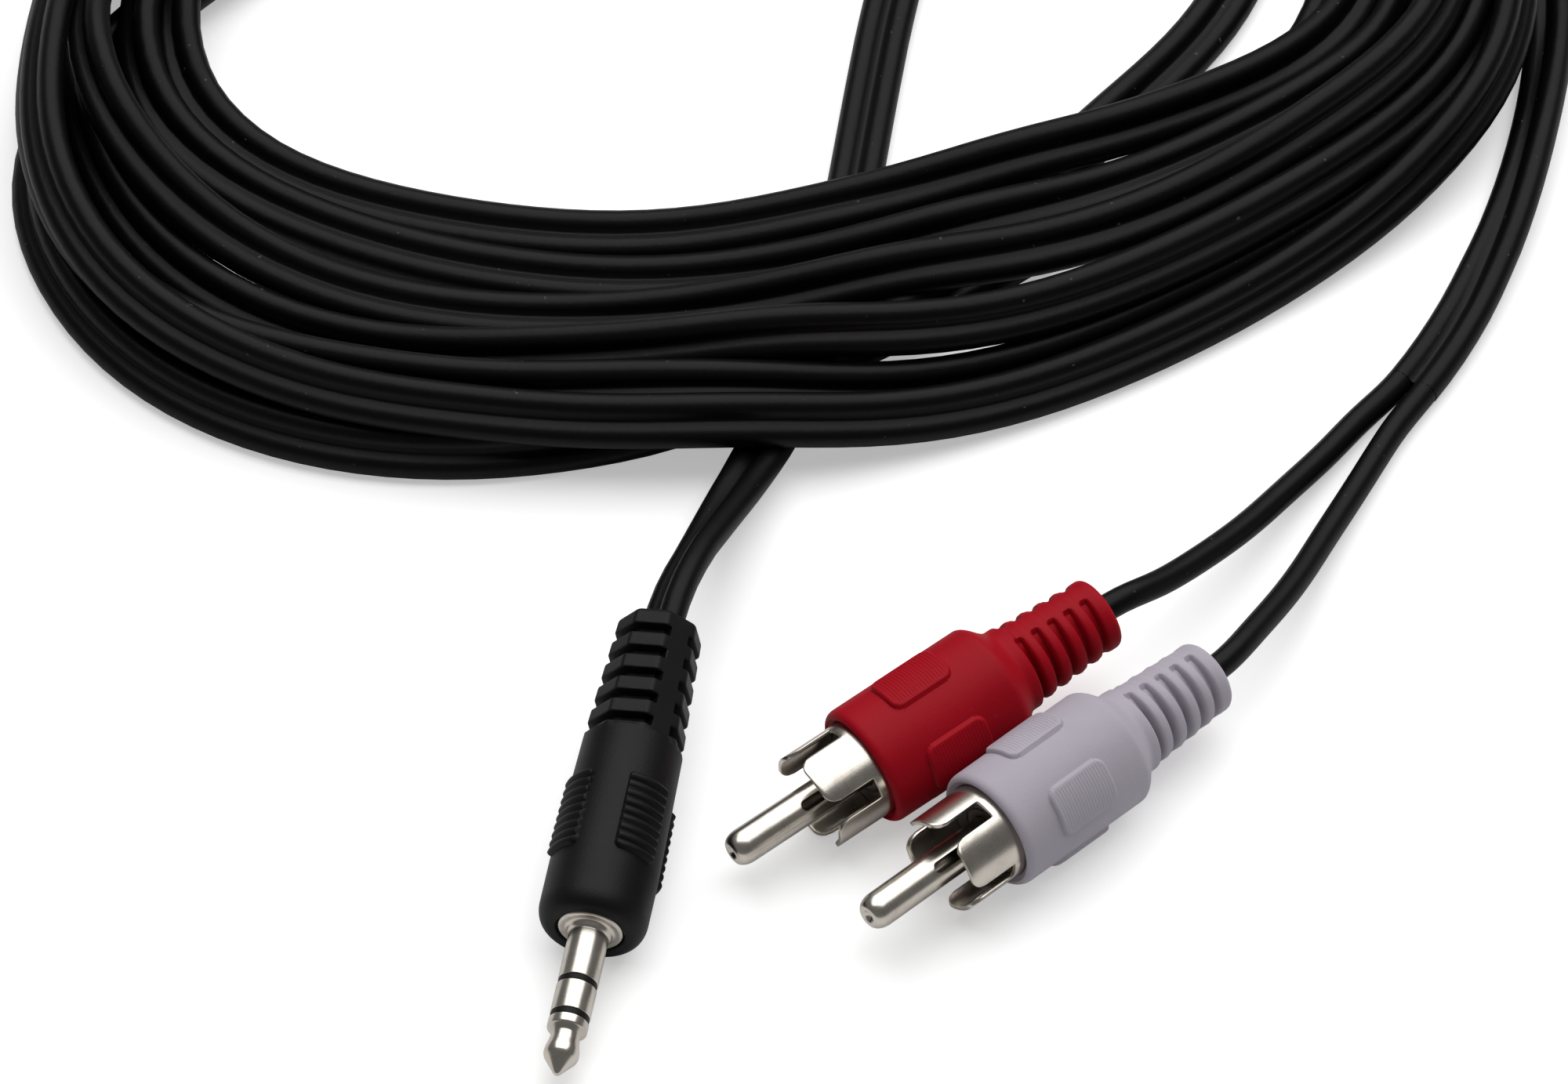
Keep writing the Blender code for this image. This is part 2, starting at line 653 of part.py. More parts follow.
def jack_band(name, rear, front, inside, outside, tail, material, place):
    """An insulator that shows as a band, with a tube between the two conductors behind it."""
    bore = inside + SLEEVING
    tube = outside - SLEEVING
    profile = [
        (bore, front - SLEEVING), (JACK_SHAFT_RADIUS - SLEEVING, front - SLEEVING),
        (JACK_SHAFT_RADIUS - SLEEVING, rear + SLEEVING), (tube, rear + SLEEVING),
        (tube, -tail - JACK_LIP_HEIGHT), (bore, -tail - JACK_LIP_HEIGHT),
    ]
    turned_piece(name, profile, material, place, closed=True, steps=JACK_STEPS)


def octagon_cone(name, start, end, front_across, rear_across):
    """An eight-sided taper along -Z, with flats on the X and Y axes."""
    half_side = math.pi / JACK_RELIEF_SIDES
    corner = 2 * math.cos(half_side)
    shape = bmesh.new()
    bmesh.ops.create_cone(
        shape, cap_ends=True, segments=JACK_RELIEF_SIDES, radius1=rear_across / corner,
        radius2=front_across / corner, depth=end - start,
    )
    turn_to_flat = Matrix.Rotation(half_side, 4, "Z")
    bmesh.ops.transform(shape, matrix=turn_to_flat, verts=shape.verts)
    bmesh.ops.translate(shape, vec=(0, 0, -(start + end) / 2), verts=shape.verts)
    mesh = bpy.data.meshes.new(name)
    shape.to_mesh(mesh)
    shape.free()
    return mesh


def jack_relief(place):
    start = JACK_BOOT_LENGTH - JACK_RELIEF_OVERLAP
    taper = (JACK_RELIEF_REAR - JACK_RELIEF_FRONT) / (JACK_RELIEF_LENGTH - JACK_BOOT_LENGTH)
    front = JACK_RELIEF_FRONT - taper * JACK_RELIEF_OVERLAP
    cone = octagon_cone("jack_relief", start, JACK_RELIEF_LENGTH, front, JACK_RELIEF_REAR)
    relief = add_cutter("jack_relief", cone, place)
    bevel = relief.modifiers.new("Worn edges", "BEVEL")
    bevel.width = JACK_RELIEF_EDGE
    bevel.segments = 2
    bevel.limit_method = "ANGLE"
    return relief


def jack_slots(place):
    """Square-ended slots cut from both sides, down to a core and up to the spines."""
    reach = 2 * JACK_RELIEF_FRONT
    shape = bmesh.new()
    for slot in range(JACK_SLOTS):
        z = -JACK_FIRST_SLOT - JACK_SLOT_PITCH * slot
        slab = bmesh.ops.create_cube(shape, size=1)["verts"]
        bmesh.ops.scale(shape, vec=(reach, reach, JACK_SLOT_WIDTH), verts=slab)
        bmesh.ops.translate(shape, vec=(0, 0, z), verts=slab)
    mesh = bpy.data.meshes.new("jack_slots")
    shape.to_mesh(mesh)
    shape.free()
    slots = add_cutter("jack_slots", mesh, place)
    start = JACK_BOOT_LENGTH - JACK_SLOT_PITCH
    inside = 2 * JACK_SLOT_DEPTH
    core_mesh = octagon_cone(
        "jack_slot_core", start, JACK_RELIEF_LENGTH + JACK_SLOT_PITCH,
        JACK_RELIEF_FRONT - inside, JACK_RELIEF_REAR - inside,
    )
    combine(slots, add_cutter("jack_slot_core", core_mesh, place), "DIFFERENCE")
    length = 2 * (JACK_RELIEF_LENGTH - start)
    spine_mesh = block_mesh("jack_spine", (2 * reach, JACK_SPINE_WIDTH, length),
                            (0, 0, -JACK_BOOT_LENGTH))
    return combine(slots, add_cutter("jack_spine", spine_mesh, place), "DIFFERENCE")


def jack_boot_radius(distance):
    """Body radius at a distance behind the front face, where the taper runs."""
    share = (distance - JACK_BOOT_TAPER_START) / (JACK_BOOT_LENGTH - JACK_BOOT_TAPER_START)
    return JACK_BOOT_RADIUS + (JACK_BOOT_REAR_RADIUS - JACK_BOOT_RADIUS) * share


def jack_pads(place):
    """Ribbed pads, each rib a flat crest with a valley on either side."""
    rib_length = JACK_PAD_LENGTH / JACK_PAD_RIBS
    crest_start, crest_end = JACK_RIB_CREST
    band = [(JACK_BOOT_REAR_RADIUS - JACK_PAD_PROUD, -JACK_PAD_START)]
    for rib in range(JACK_PAD_RIBS):
        start = JACK_PAD_START + rib * rib_length
        crest = jack_boot_radius(start) + JACK_PAD_PROUD
        band += [
            (crest - JACK_RIB_DEPTH, -start), (crest, -start - rib_length * crest_start),
            (crest, -start - rib_length * crest_end),
        ]
    end = JACK_PAD_START + JACK_PAD_LENGTH
    band.append((jack_boot_radius(end) + JACK_PAD_PROUD - JACK_RIB_DEPTH, -end))
    band.append((JACK_BOOT_REAR_RADIUS - JACK_PAD_PROUD, -end))
    pads = turned_cutter("jack_pads", band, place, closed=True)
    return keep_crossed(
        pads, JACK_PAD_START, JACK_PAD_LENGTH, JACK_PAD_WIDTH, PAD_CORNER, 4 * JACK_BOOT_RADIUS
    )


def jack_boot(material, place):
    front_edge = (JACK_BOOT_RADIUS - JACK_BOOT_EDGE, 0)
    profile = [(0, 0)] + round_edge(front_edge, (JACK_BOOT_RADIUS, -JACK_BOOT_EDGE_LENGTH))
    profile += [
        (JACK_BOOT_RADIUS, -JACK_BOOT_TAPER_START), (JACK_BOOT_REAR_RADIUS, -JACK_BOOT_LENGTH),
        (0, -JACK_BOOT_LENGTH),
    ]
    boot = turned_piece("jack_boot", profile, material, place)
    plate_bore = JACK_PLATE_RADIUS + SLEEVING
    mould_bore = JACK_MOULD_RADIUS + SLEEVING
    plate_back = -JACK_PLATE_DEPTH - SEAT
    mould_back = -JACK_MOULD_LENGTH - SEAT
    cavity = [
        (0, JACK_BOOT_EDGE), (plate_bore, JACK_BOOT_EDGE), (plate_bore, plate_back),
        (mould_bore, plate_back), (mould_bore, mould_back), (0, mould_back),
    ]
    combine(boot, jack_relief(place), "UNION")
    combine(boot, jack_pads(place), "UNION")
    combine(boot, jack_slots(place), "DIFFERENCE")
    combine(boot, turned_cutter("jack_cavity", cavity, place), "DIFFERENCE")
    combine(boot, twin_passage("jack_passage", JACK_MOULD_LENGTH, place), "DIFFERENCE")
    return boot


def twin_passage(name, start, place):
    """A flat hole with round ends for the twin cable, from a depth out through the relief."""
    end = JACK_RELIEF_LENGTH + JACK_SLOT_PITCH
    height = LOBE_WIDTH + 2 * SEAT
    size = (TWIN_WIDTH + 2 * SEAT, height, end - start)
    middle = (0, 0, -(start + end) / 2)
    return add_cutter(name, block_mesh(name, size, middle, 2, height * ROUND_END, 4), place)


def jack_mould(material, place):
    front = -JACK_PLATE_DEPTH - SEAT
    profile = [(0, front), (JACK_MOULD_RADIUS, front), (JACK_MOULD_RADIUS, -JACK_MOULD_LENGTH)]
    profile.append((0, -JACK_MOULD_LENGTH))
    mould = turned_piece("jack_inner_mould", profile, material, place, steps=JACK_STEPS)
    pocket = [(0, 0), (JACK_MOULD_POCKET, 0), (JACK_MOULD_POCKET, -JACK_MOULD_POCKET_LENGTH),
              (0, -JACK_MOULD_POCKET_LENGTH)]
    cutter = turned_cutter("jack_pocket", pocket, place, steps=JACK_STEPS)
    combine(mould, cutter, "DIFFERENCE")
    passage = twin_passage("jack_mould_passage", JACK_MOULD_POCKET_LENGTH - SEAT, place)
    return combine(mould, passage, "DIFFERENCE")


def jack_wires(place):
    """Left core to the tip's tail, right core to the ring's, and the screens to the sleeve's."""
    end = -JACK_MOULD_POCKET_LENGTH - SEAT
    beside_tip = JACK_ROD_RADIUS + CORE_RADIUS + SLEEVING
    left = [
        (beside_tip, 0, -JACK_ROD_TAIL + SEAT), (beside_tip, 0, (end - JACK_ROD_TAIL) / 2),
        (JACK_CORE_OFFSET, 0, end),
    ]
    wire_piece("jack_left_core", left, CORE_RADIUS, MATERIALS["core_left"], place)
    beside_ring = JACK_STEM_RADIUS + CORE_RADIUS + SLEEVING
    right = [(-beside_ring, 0, -JACK_STEM_TAIL + SEAT), (-JACK_CORE_OFFSET, 0, end)]
    wire_piece("jack_right_core", right, CORE_RADIUS, MATERIALS["core_right"], place)
    start = -JACK_SLEEVE_TAIL - JACK_LIP_HEIGHT - SEAT
    screen = [(0, JACK_SLEEVE_BORE + SCREEN_RADIUS, start), (0, 2 * SCREEN_RADIUS, end)]
    wire_piece("jack_screen", screen, SCREEN_RADIUS, MATERIALS["copper"], place)


# Wires and cable

def curve_through(name, points, radius, collection, parent, sides=2):
    curve = bpy.data.curves.new(name, "CURVE")
    curve.dimensions = "3D"
    curve.bevel_depth = radius
    curve.bevel_resolution = sides
    curve.use_fill_caps = True
    spline = curve.splines.new("POLY")
    spline.points.add(len(points) - 1)
    for point, place in zip(spline.points, points):
        point.co = (*place, 1)
    return add_object(name, curve, collection, parent)


def wire_piece(name, points, radius, material, parent):
    wire = curve_through(name, points, radius, PARTS, parent, sides=1)
    return finish_piece(wire, material)


def through(route, closed=False):
    """A smooth curve through the route's points, as many short steps."""
    points = [Vector(point) for point in route]
    count = len(points)
    steps = []
    for i in range(count if closed else count - 1):
        if closed:
            before, start, end, after = (points[(i + k) % count] for k in (-1, 0, 1, 2))
        else:
            start, end = points[i], points[i + 1]
            before = points[i - 1] if i > 0 else start * 2 - end
            after = points[i + 2] if i + 2 < count else end * 2 - start
        for k in range(CURVE_STEPS):
            t = k / CURVE_STEPS
            steps.append(0.5 * (
                2 * start + (end - before) * t
                + (2 * before - 5 * start + 4 * end - after) * t ** 2
                + (3 * start - before - 3 * end + after) * t ** 3
            ))
    if not closed:
        steps.append(points[-1])
    return steps


def spaced(steps, spacing):
    """The same curve with a point at every even spacing."""
    lengths = [0.0]
    for start, end in zip(steps, steps[1:]):
        lengths.append(lengths[-1] + (end - start).length)
    count = max(round(lengths[-1] / spacing), 2)
    points = []
    at = 0
    for k in range(count + 1):
        wanted = lengths[-1] * k / count
        while at < len(lengths) - 2 and lengths[at + 1] < wanted:
            at += 1
        share = (wanted - lengths[at]) / (lengths[at + 1] - lengths[at])
        points.append(steps[at].lerp(steps[at + 1], min(share, 1.0)))
    return points


def along_axis(place, distances):
    """Points on a plug's own axis at distances behind its face, in the layout's frame."""
    return [place.matrix_world @ Vector((0, 0, -d)) + PLUGS_MIDDLE for d in distances]


def lay_route(route, spacing):
    return [point - PLUGS_MIDDLE for point in spaced(through(route), spacing)]


def single_lead(name, place, route, material):
    _, relief_end = phono_boot_profile()
    inside = along_axis(place, (MOULD_POCKET_LENGTH + 2 * SEAT, relief_end, relief_end + LEAD_WIDTH))
    points = lay_route(inside + [Vector(point) for point in route], LEAD_STEP)
    lead = curve_through(name, points, LEAD_WIDTH / 2, PARTS, None)
    return finish_piece(lead, material)


def twin_outline():
    """The twin cable's section: two lobes with a shallow waist, as one closed outline."""
    curve = bpy.data.curves.new("twin_outline", "CURVE")
    curve.dimensions = "2D"
    radius = LOBE_WIDTH / 2
    offset = TWIN_WIDTH / 2 - radius
    points = []
    for side in (1, -1):
        for k in range(TWIN_SIDES):
            angle = math.radians(TWIN_WAIST * (1 - 2 * k / (TWIN_SIDES - 1)))
            points.append((side * (offset + radius * math.cos(angle)), side * radius * math.sin(angle)))
    spline = curve.splines.new("POLY")
    spline.points.add(len(points) - 1)
    spline.use_cyclic_u = True
    for point, (x, y) in zip(spline.points, points):
        point.co = (x, y, 0, 1)
    return add_cutter("twin_outline", curve, None)


def twin_cable(name, points, material, outline, first_tilt=0.0, held=0.0):
    """The flat cable along its points, tilted by first_tilt as far as held, and then easing flat."""
    cable = curve_through(name, points, 0, PARTS, None)
    cable.data.twist_mode = "Z_UP"
    cable.data.bevel_mode = "OBJECT"
    cable.data.bevel_object = outline
    for i, point in enumerate(cable.data.splines[0].points):
        eased = max(i / (len(points) - 1) - held, 0) / (1 - held)
        point.tilt = math.radians(first_tilt * (1 - eased))
    return finish_piece(cable, material)


def loose_cable(jack_place, red_place, white_place):
    black = MATERIALS["cable"]
    outline = twin_outline()
    inside = along_axis(jack_place, (
        JACK_MOULD_POCKET_LENGTH + 2 * SEAT, JACK_RELIEF_LENGTH, JACK_RELIEF_LENGTH + TWIN_WIDTH,
    ))
    jack_points = lay_route(inside + [Vector(point) for point in JACK_END_ROUTE], TWIN_STEP)
    twin_cable("cable_jack_end", jack_points, black, outline, JACK_CABLE_TILT, JACK_CABLE_HELD)
    twin_cable("cable_across", lay_route(ACROSS_ROUTE, TWIN_STEP), black, outline)
    twin_cable("cable_plug_end", lay_route(PLUG_END_ROUTE, TWIN_STEP), black, outline)
    single_lead("red_lead", red_place, RED_LEAD_ROUTE, black)
    single_lead("white_lead", white_place, WHITE_LEAD_ROUTE, black)
    finish_piece(coil_solid(), black)


def coil_solid():
    """The outer shape of all the turns together, with the opening in their middle."""
    curve = bpy.data.curves.new("cable_coil", "CURVE")
    curve.dimensions = "2D"
    curve.fill_mode = "BOTH"
    curve.extrude = COIL_HEIGHT / 2 - COIL_EDGE
    curve.bevel_depth = COIL_EDGE
    curve.bevel_resolution = 1
    curve.offset = -COIL_EDGE
    for route in (COIL_OUTLINE, COIL_OPENING):
        steps = through([(x, y, 0) for x, y in route], closed=True)[::CURVE_STEPS // COIL_ARC_STEPS]
        spline = curve.splines.new("POLY")
        spline.points.add(len(steps) - 1)
        spline.use_cyclic_u = True
        for point, place in zip(spline.points, steps):
            point.co = (*(place - PLUGS_MIDDLE), 1)
    coil = add_object("cable_coil", curve, PARTS, None)
    coil.location = (0, 0, COIL_HEIGHT / 2)
    return coil


clear_scene()
PARTS = make_collection("audio_cable")
CUTTERS = make_collection("cutters")
MATERIALS = {
    "red_plastic": make_material("Red moulded plastic", RED, 0.45),
    "white_plastic": make_material("White moulded plastic", WHITE, 0.45),
    "black_plastic": make_material("Black moulded plastic", BLACK, 0.5),
    "cable": make_material("Black cable jacket", BLACK, 0.4),
    "nickel": make_material("Nickel plate", NICKEL, 0.25, 1.0),
    "dark_plastic": make_material("Dark insulator", DARK_PLASTIC, 0.4),
    "mould_plastic": make_material("Inner mould", MOULD_PLASTIC, 0.6),
    "copper": make_material("Copper braid", COPPER, 0.4, 1.0),
    "core_left": make_material("White core", CORE_WHITE, 0.5),
    "core_right": make_material("Red core", CORE_RED, 0.5),
}

jack_place = lay_down("jack", JACK_FACE, JACK_HEADING, JACK_PITCH, JACK_ROLL)
red_place = lay_down("red", RED_FACE, RED_HEADING, RED_PITCH, RED_ROLL)
white_place = lay_down("white", WHITE_FACE, WHITE_HEADING, WHITE_PITCH, WHITE_ROLL)
bpy.context.view_layer.update()

jack_boot(MATERIALS["black_plastic"], jack_place)
jack_metal(jack_place)
jack_mould(MATERIALS["mould_plastic"], jack_place)
jack_wires(jack_place)
phono_plug("red", red_place, RED_SHELL_TURN, RED_HOLE_TURN, MATERIALS["red_plastic"])
phono_plug("white", white_place, WHITE_SHELL_TURN, WHITE_HOLE_TURN, MATERIALS["white_plastic"])
loose_cable(jack_place, red_place, white_place)
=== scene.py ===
import json
import math

import bmesh
import bpy
import numpy as np
from mathutils import Matrix, Vector


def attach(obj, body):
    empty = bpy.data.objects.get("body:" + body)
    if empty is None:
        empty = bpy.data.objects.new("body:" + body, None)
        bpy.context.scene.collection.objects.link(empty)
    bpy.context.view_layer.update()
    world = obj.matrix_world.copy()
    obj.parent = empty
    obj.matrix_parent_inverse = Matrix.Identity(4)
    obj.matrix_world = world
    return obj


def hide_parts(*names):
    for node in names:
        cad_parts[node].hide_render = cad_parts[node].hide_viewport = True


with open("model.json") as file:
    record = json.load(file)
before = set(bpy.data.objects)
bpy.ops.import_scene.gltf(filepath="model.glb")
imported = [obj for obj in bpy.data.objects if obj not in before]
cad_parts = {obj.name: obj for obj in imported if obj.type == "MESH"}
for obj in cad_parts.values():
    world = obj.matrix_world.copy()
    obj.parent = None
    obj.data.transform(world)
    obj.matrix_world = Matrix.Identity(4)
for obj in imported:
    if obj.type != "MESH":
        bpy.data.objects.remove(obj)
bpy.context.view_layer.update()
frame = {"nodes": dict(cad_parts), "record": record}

mm = 0.001
# the part's origin, seen from the layout's zero: the spot on the table that the camera looks at
plugsMiddle = Vector((0.008763, -0.036866, 0))


def added(name, data):
    obj = bpy.data.objects.new(name, data)
    bpy.context.scene.collection.objects.link(obj)
    return obj


def meshFrom(shape, name):
    mesh = bpy.data.meshes.new(name)
    shape.to_mesh(mesh)
    shape.free()
    return mesh


# camera: the photo's view, from 50 degrees above the table and well back
camera = dict(elevation=50, distance=1.4, lens=368.7, sensor=36, clipEnd=6)


def makeCamera():
    data = bpy.data.cameras.new("camera")
    data.lens = camera["lens"]
    data.sensor_width = camera["sensor"]
    data.clip_end = camera["clipEnd"]
    eye = added("camera", data)
    up = math.radians(camera["elevation"])
    back = Vector((0, -math.cos(up), math.sin(up))) * camera["distance"]
    eye.location = back - plugsMiddle
    eye.rotation_euler = (math.radians(90) - up, 0, 0)
    bpy.context.scene.camera = eye


makeCamera()
print("camera set")

# the cable and its route, in millimetres from the layout's zero
# heldFrom and heldEase are lengths, and the other eases are smoothing passes
cable = dict(
    lobe=2.45, width=4.9, lead=2.4, spacing=2.5, grooveTurn=150, lobeSides=13, sharp=48, curveSteps=16,
    settleSteps=420, lateFrom=0.4, fall=0.13, sink=0.03, rankGap=2.6, blocks=400, apartPoints=8, abreast=0.6,
    heightEase=6, tiltEase=10, routeEase=50, heldFrom=30, heldEase=20, rollPoint=10, endPoints=6,
    bootPoints=40, bootEase=5, pastSplit=2.0, leadSpacing=1.2, leadEase=6,
)
jackEnd = [
    (-8.3, -8.6, 7.4), (-6.9, -5.0, 6.3), (-5.4, -0.9, 4.9), (-4.0, 3.1, 3.7), (-2.6, 6.6, 2.7),
    (-1.0, 10.1, 2.0),
]
underFront = [(1.0, 15.9, 1.6), (3.1, 22.5, 1.3), (4.7, 29.8, 1.3), (5.7, 36.2, 1.3)]
across = [
    (6.7, 43.7, 1.3), (7.2, 47.8, 1.3), (7.8, 52.0, 1.3), (8.6, 56.7, 1.3), (9.4, 61.4, 1.3),
    (10.3, 66.0, 1.3), (11.3, 70.6, 1.3), (12.5, 75.2, 1.3), (13.9, 80.0, 1.3), (15.4, 84.8, 1.3),
    (17.2, 89.8, 1.3), (19.2, 95.0, 1.3), (21.1, 99.3, 1.3),
]
intoCoil = [(25.6, 105.0, 1.3), (32.5, 107.2, 1.3), (39.8, 103.5, 1.3), (45.4, 96.0, 1.3)]
plugEnd = [
    (69.1, 64.0, 3.0), (69.0, 59.9, 2.9), (68.0, 55.8, 2.7), (67.0, 51.9, 2.5), (66.4, 47.3, 2.4),
    (65.8, 42.6, 2.4), (65.1, 38.9, 2.4), (64.2, 35.2, 2.4), (63.2, 32.0, 2.3), (61.9, 28.9, 2.2),
    (60.4, 25.6, 2.0), (58.6, 22.3, 1.8), (57.0, 19.6, 1.5), (55.2, 16.8, 1.3),
]
plugTilt = [-20, -30, -38, -42, -42, -40, -34, -26, -18, -10, -4, 0, 0, 0]
redRoute = [
    (32.0, -10.9, 7.0), (36.4, -6.0, 5.2), (40.3, -1.2, 3.7), (43.8, 3.8, 2.5), (47.5, 8.7, 1.7),
    (50.9, 13.6, 1.3),
]
whiteRoute = [
    (40.1, -15.0, 5.2), (42.8, -10.4, 4.1), (45.0, -6.0, 3.1), (47.0, -1.4, 2.3), (49.1, 3.0, 1.7),
    (51.7, 8.4, 1.35), (53.9, 12.8, 1.25),
]

# each plug's place: middle of the front face, heading of the tip, tip-down pitch, roll of the spine
places = dict(
    jack=dict(face=(-16.52, -47.15, 4.52), heading=-100.95, pitch=6.5, roll=37.3),
    red=dict(face=(6.57, -30.02, 5.49), heading=-143.5, pitch=6.0, roll=-17.2),
    white=dict(face=(17.33, -37.27, 5.83), heading=-137.7, pitch=0.0, roll=-34.0),
)


def plugMatrix(name):
    place = places[name]
    heading, pitch, roll = (math.radians(place[k]) for k in ("heading", "pitch", "roll"))
    tip = Vector((math.cos(pitch) * math.cos(heading), math.cos(pitch) * math.sin(heading), -math.sin(pitch)))
    side = Vector((-math.sin(heading), math.cos(heading), 0))
    spine = tip.cross(side) * math.cos(roll) + side * math.sin(roll)
    turned = Matrix((spine, tip.cross(spine), tip)).transposed().to_4x4()
    return Matrix.Translation(Vector(place["face"]) * mm - plugsMiddle) @ turned


def onAxis(name, distances):
    # points behind a plug's face, back in the layout's millimetres
    turned = plugMatrix(name)
    return [tuple((turned @ Vector((0, 0, -d * mm)) + plugsMiddle) / mm) for d in distances]


# the coil: one row for each turn in the order that the cable runs, with its distance from the loop's middle
# at angles round the front, and its rank in the heap, lowest first
# at the back the turns lie in lanes in that order, and a turn leans by its neighbours' spacing unless its
# row sets its lean
coil = dict(
    middle=(0, 66),
    front=(-8, -20, -33, -47, -62, -78, -95, -112, -125, -140, -153, -165),
    back=(-186, -208, -230, -252, -276, -300, -324, -346),
    backInner=(43.4, 35.6, 33.5, 32.3, 35.9, 42.8, 49.9, 49.6),
    backPitch=(2.85, 3.1, 3.0, 3.2, 3.15, 3.0, 2.65, 2.68),
    flattest=20, steepest=56,
    turns=(
        dict(rank=0, reach=(40.5, 36.5, 33, 34, 38, 44, 50, 56, 63, 70.4, 70.5, 65.5)),
        dict(rank=1, reach=(50, 46, 41.8, 39, 40.5, 46.5, 52.5, 61.9, 69, 74.5, 73, 68.7)),
        dict(rank=5, reach=(52.6, 45, 39.6, 35, 31.3, 30.9, 31.8, 35, 38.6, 45, 52.2, 57.4)),
        dict(rank=6, reach=(57.2, 49.8, 44.5, 41, 38.6, 37.2, 37.8, 40.6, 44, 50.3, 56.7, 60.8)),
        dict(rank=7, reach=(61.3, 57.2, 50.8, 47.2, 43.8, 42, 42.7, 45.9, 50.9, 59.6, 63.4, 65)),
        dict(rank=4, reach=(64.6, 60.2, 55.5, 52, 50.4, 49, 49.4, 52.8, 57.5, 64, 66.5, 65.4)),
        dict(rank=8, reach=(66.8, 64.2, 59.8, 56.4, 55.3, 55.8, 57.3, 61.2, 66.6, 72.4, 72.6, 67.4),
             lean=(60, 62, 62, 60, 54, 48, 45, 45, 45, 48, 50, 50)),
        dict(rank=3, reach=(66, 62.2, 57.2, 53.8, 52.5, 52.6, 53.5, 57.4, 63, 71, 72.2, 68.4)),
    ),
)


def coilPoints():
    cx, cy = coil["middle"]
    rows = []
    for lane, turn in enumerate(coil["turns"]):
        stations = list(zip(coil["front"], turn["reach"]))
        backs = zip(coil["back"], coil["backInner"], coil["backPitch"])
        rows.append(stations + [(angle, inner + pitch * lane) for angle, inner, pitch in backs])
    points, ranks, tilts = [], [], []
    for turn, row in zip(coil["turns"], rows):
        last = turn is coil["turns"][-1]
        for k, (angle, reach) in enumerate(row[:-1] if last else row):
            a = math.radians(angle)
            points.append((cx + reach * math.cos(a), cy + reach * math.sin(a), cable["lobe"] / 2))
            ranks.append(turn["rank"])
            outer = sorted(other[k][1] for other in rows if other[k][1] > reach)
            inner = sorted(other[k][1] for other in rows if other[k][1] < reach)
            if len(outer) > 1:
                pitch = (outer[1] - reach) / 2
            elif outer:
                pitch = outer[0] - reach
            else:
                pitch = (reach - inner[-2]) / 2
            lean = math.degrees(math.acos(min(pitch / cable["width"], 1)))
            lean = min(max(lean, coil["flattest"]), coil["steepest"])
            tilts.append(turn["lean"][k] if "lean" in turn and k < len(coil["front"]) else lean)
    return points, ranks, tilts


def smoothCurve(points, extra=None):
    # a Catmull-Rom curve through the points, as many short steps; extra is one value a point
    pts = [Vector(p) for p in points]
    values = list(extra) if extra else [0] * len(pts)
    steps, carried = [], []
    for i in range(len(pts) - 1):
        a, b = pts[i], pts[i + 1]
        before = pts[i - 1] if i else a * 2 - b
        after = pts[i + 2] if i + 2 < len(pts) else b * 2 - a
        for k in range(cable["curveSteps"]):
            t = k / cable["curveSteps"]
            steps.append(0.5 * (2 * a + (b - before) * t + (2 * before - 5 * a + 4 * b - after) * t * t
                                + (3 * a - before - 3 * b + after) * t ** 3))
            carried.append(values[i] * (1 - t) + values[i + 1] * t)
    return steps + [pts[-1]], carried + [values[-1]]


def evenly(steps, carried, spacing):
    spots = np.array([tuple(p) for p in steps])
    lengths = np.concatenate([[0], np.cumsum(np.linalg.norm(np.diff(spots, axis=0), axis=1))])
    wanted = np.linspace(0, lengths[-1], max(int(round(lengths[-1] / spacing)), 2) + 1)
    evened = np.stack([np.interp(wanted, lengths, spots[:, k]) for k in range(3)], axis=1)
    return evened, np.interp(wanted, lengths, carried), lengths[-1]


def twinRoute():
    start = onAxis("jack", (11.6, 18, 25, 31.4, 35.4))
    turns, ranks, tilts = coilPoints()
    lead = start + jackEnd + underFront + across + intoCoil
    points = lead + turns + plugEnd
    coming, going = [0] * len(lead), [0] * len(plugEnd)
    steps, heap = smoothCurve(points, coming + ranks + going)
    tilt = smoothCurve(points, coming + tilts + plugTilt)[1]
    tied = len(start) + len(jackEnd)
    free = smoothCurve(points, [0] * tied + [1] * (len(points) - tied))[1]
    route, heap, length = evenly(steps, heap, cable["spacing"])
    tilt = evenly(steps, tilt, cable["spacing"])[1]
    free = evenly(steps, free, cable["spacing"])[1]
    return route, heap, tilt, free, length


def tangentsOf(points):
    tangents = np.gradient(points, axis=0)
    return tangents / np.linalg.norm(tangents, axis=1)[:, None]


def smoothAlong(values, times):
    for _ in range(times):
        middle = (values[:-2] + values[2:]) / 2
        values = np.concatenate([values[:1], values[1:-1] * 0.5 + middle * 0.5, values[-1:]])
    return values


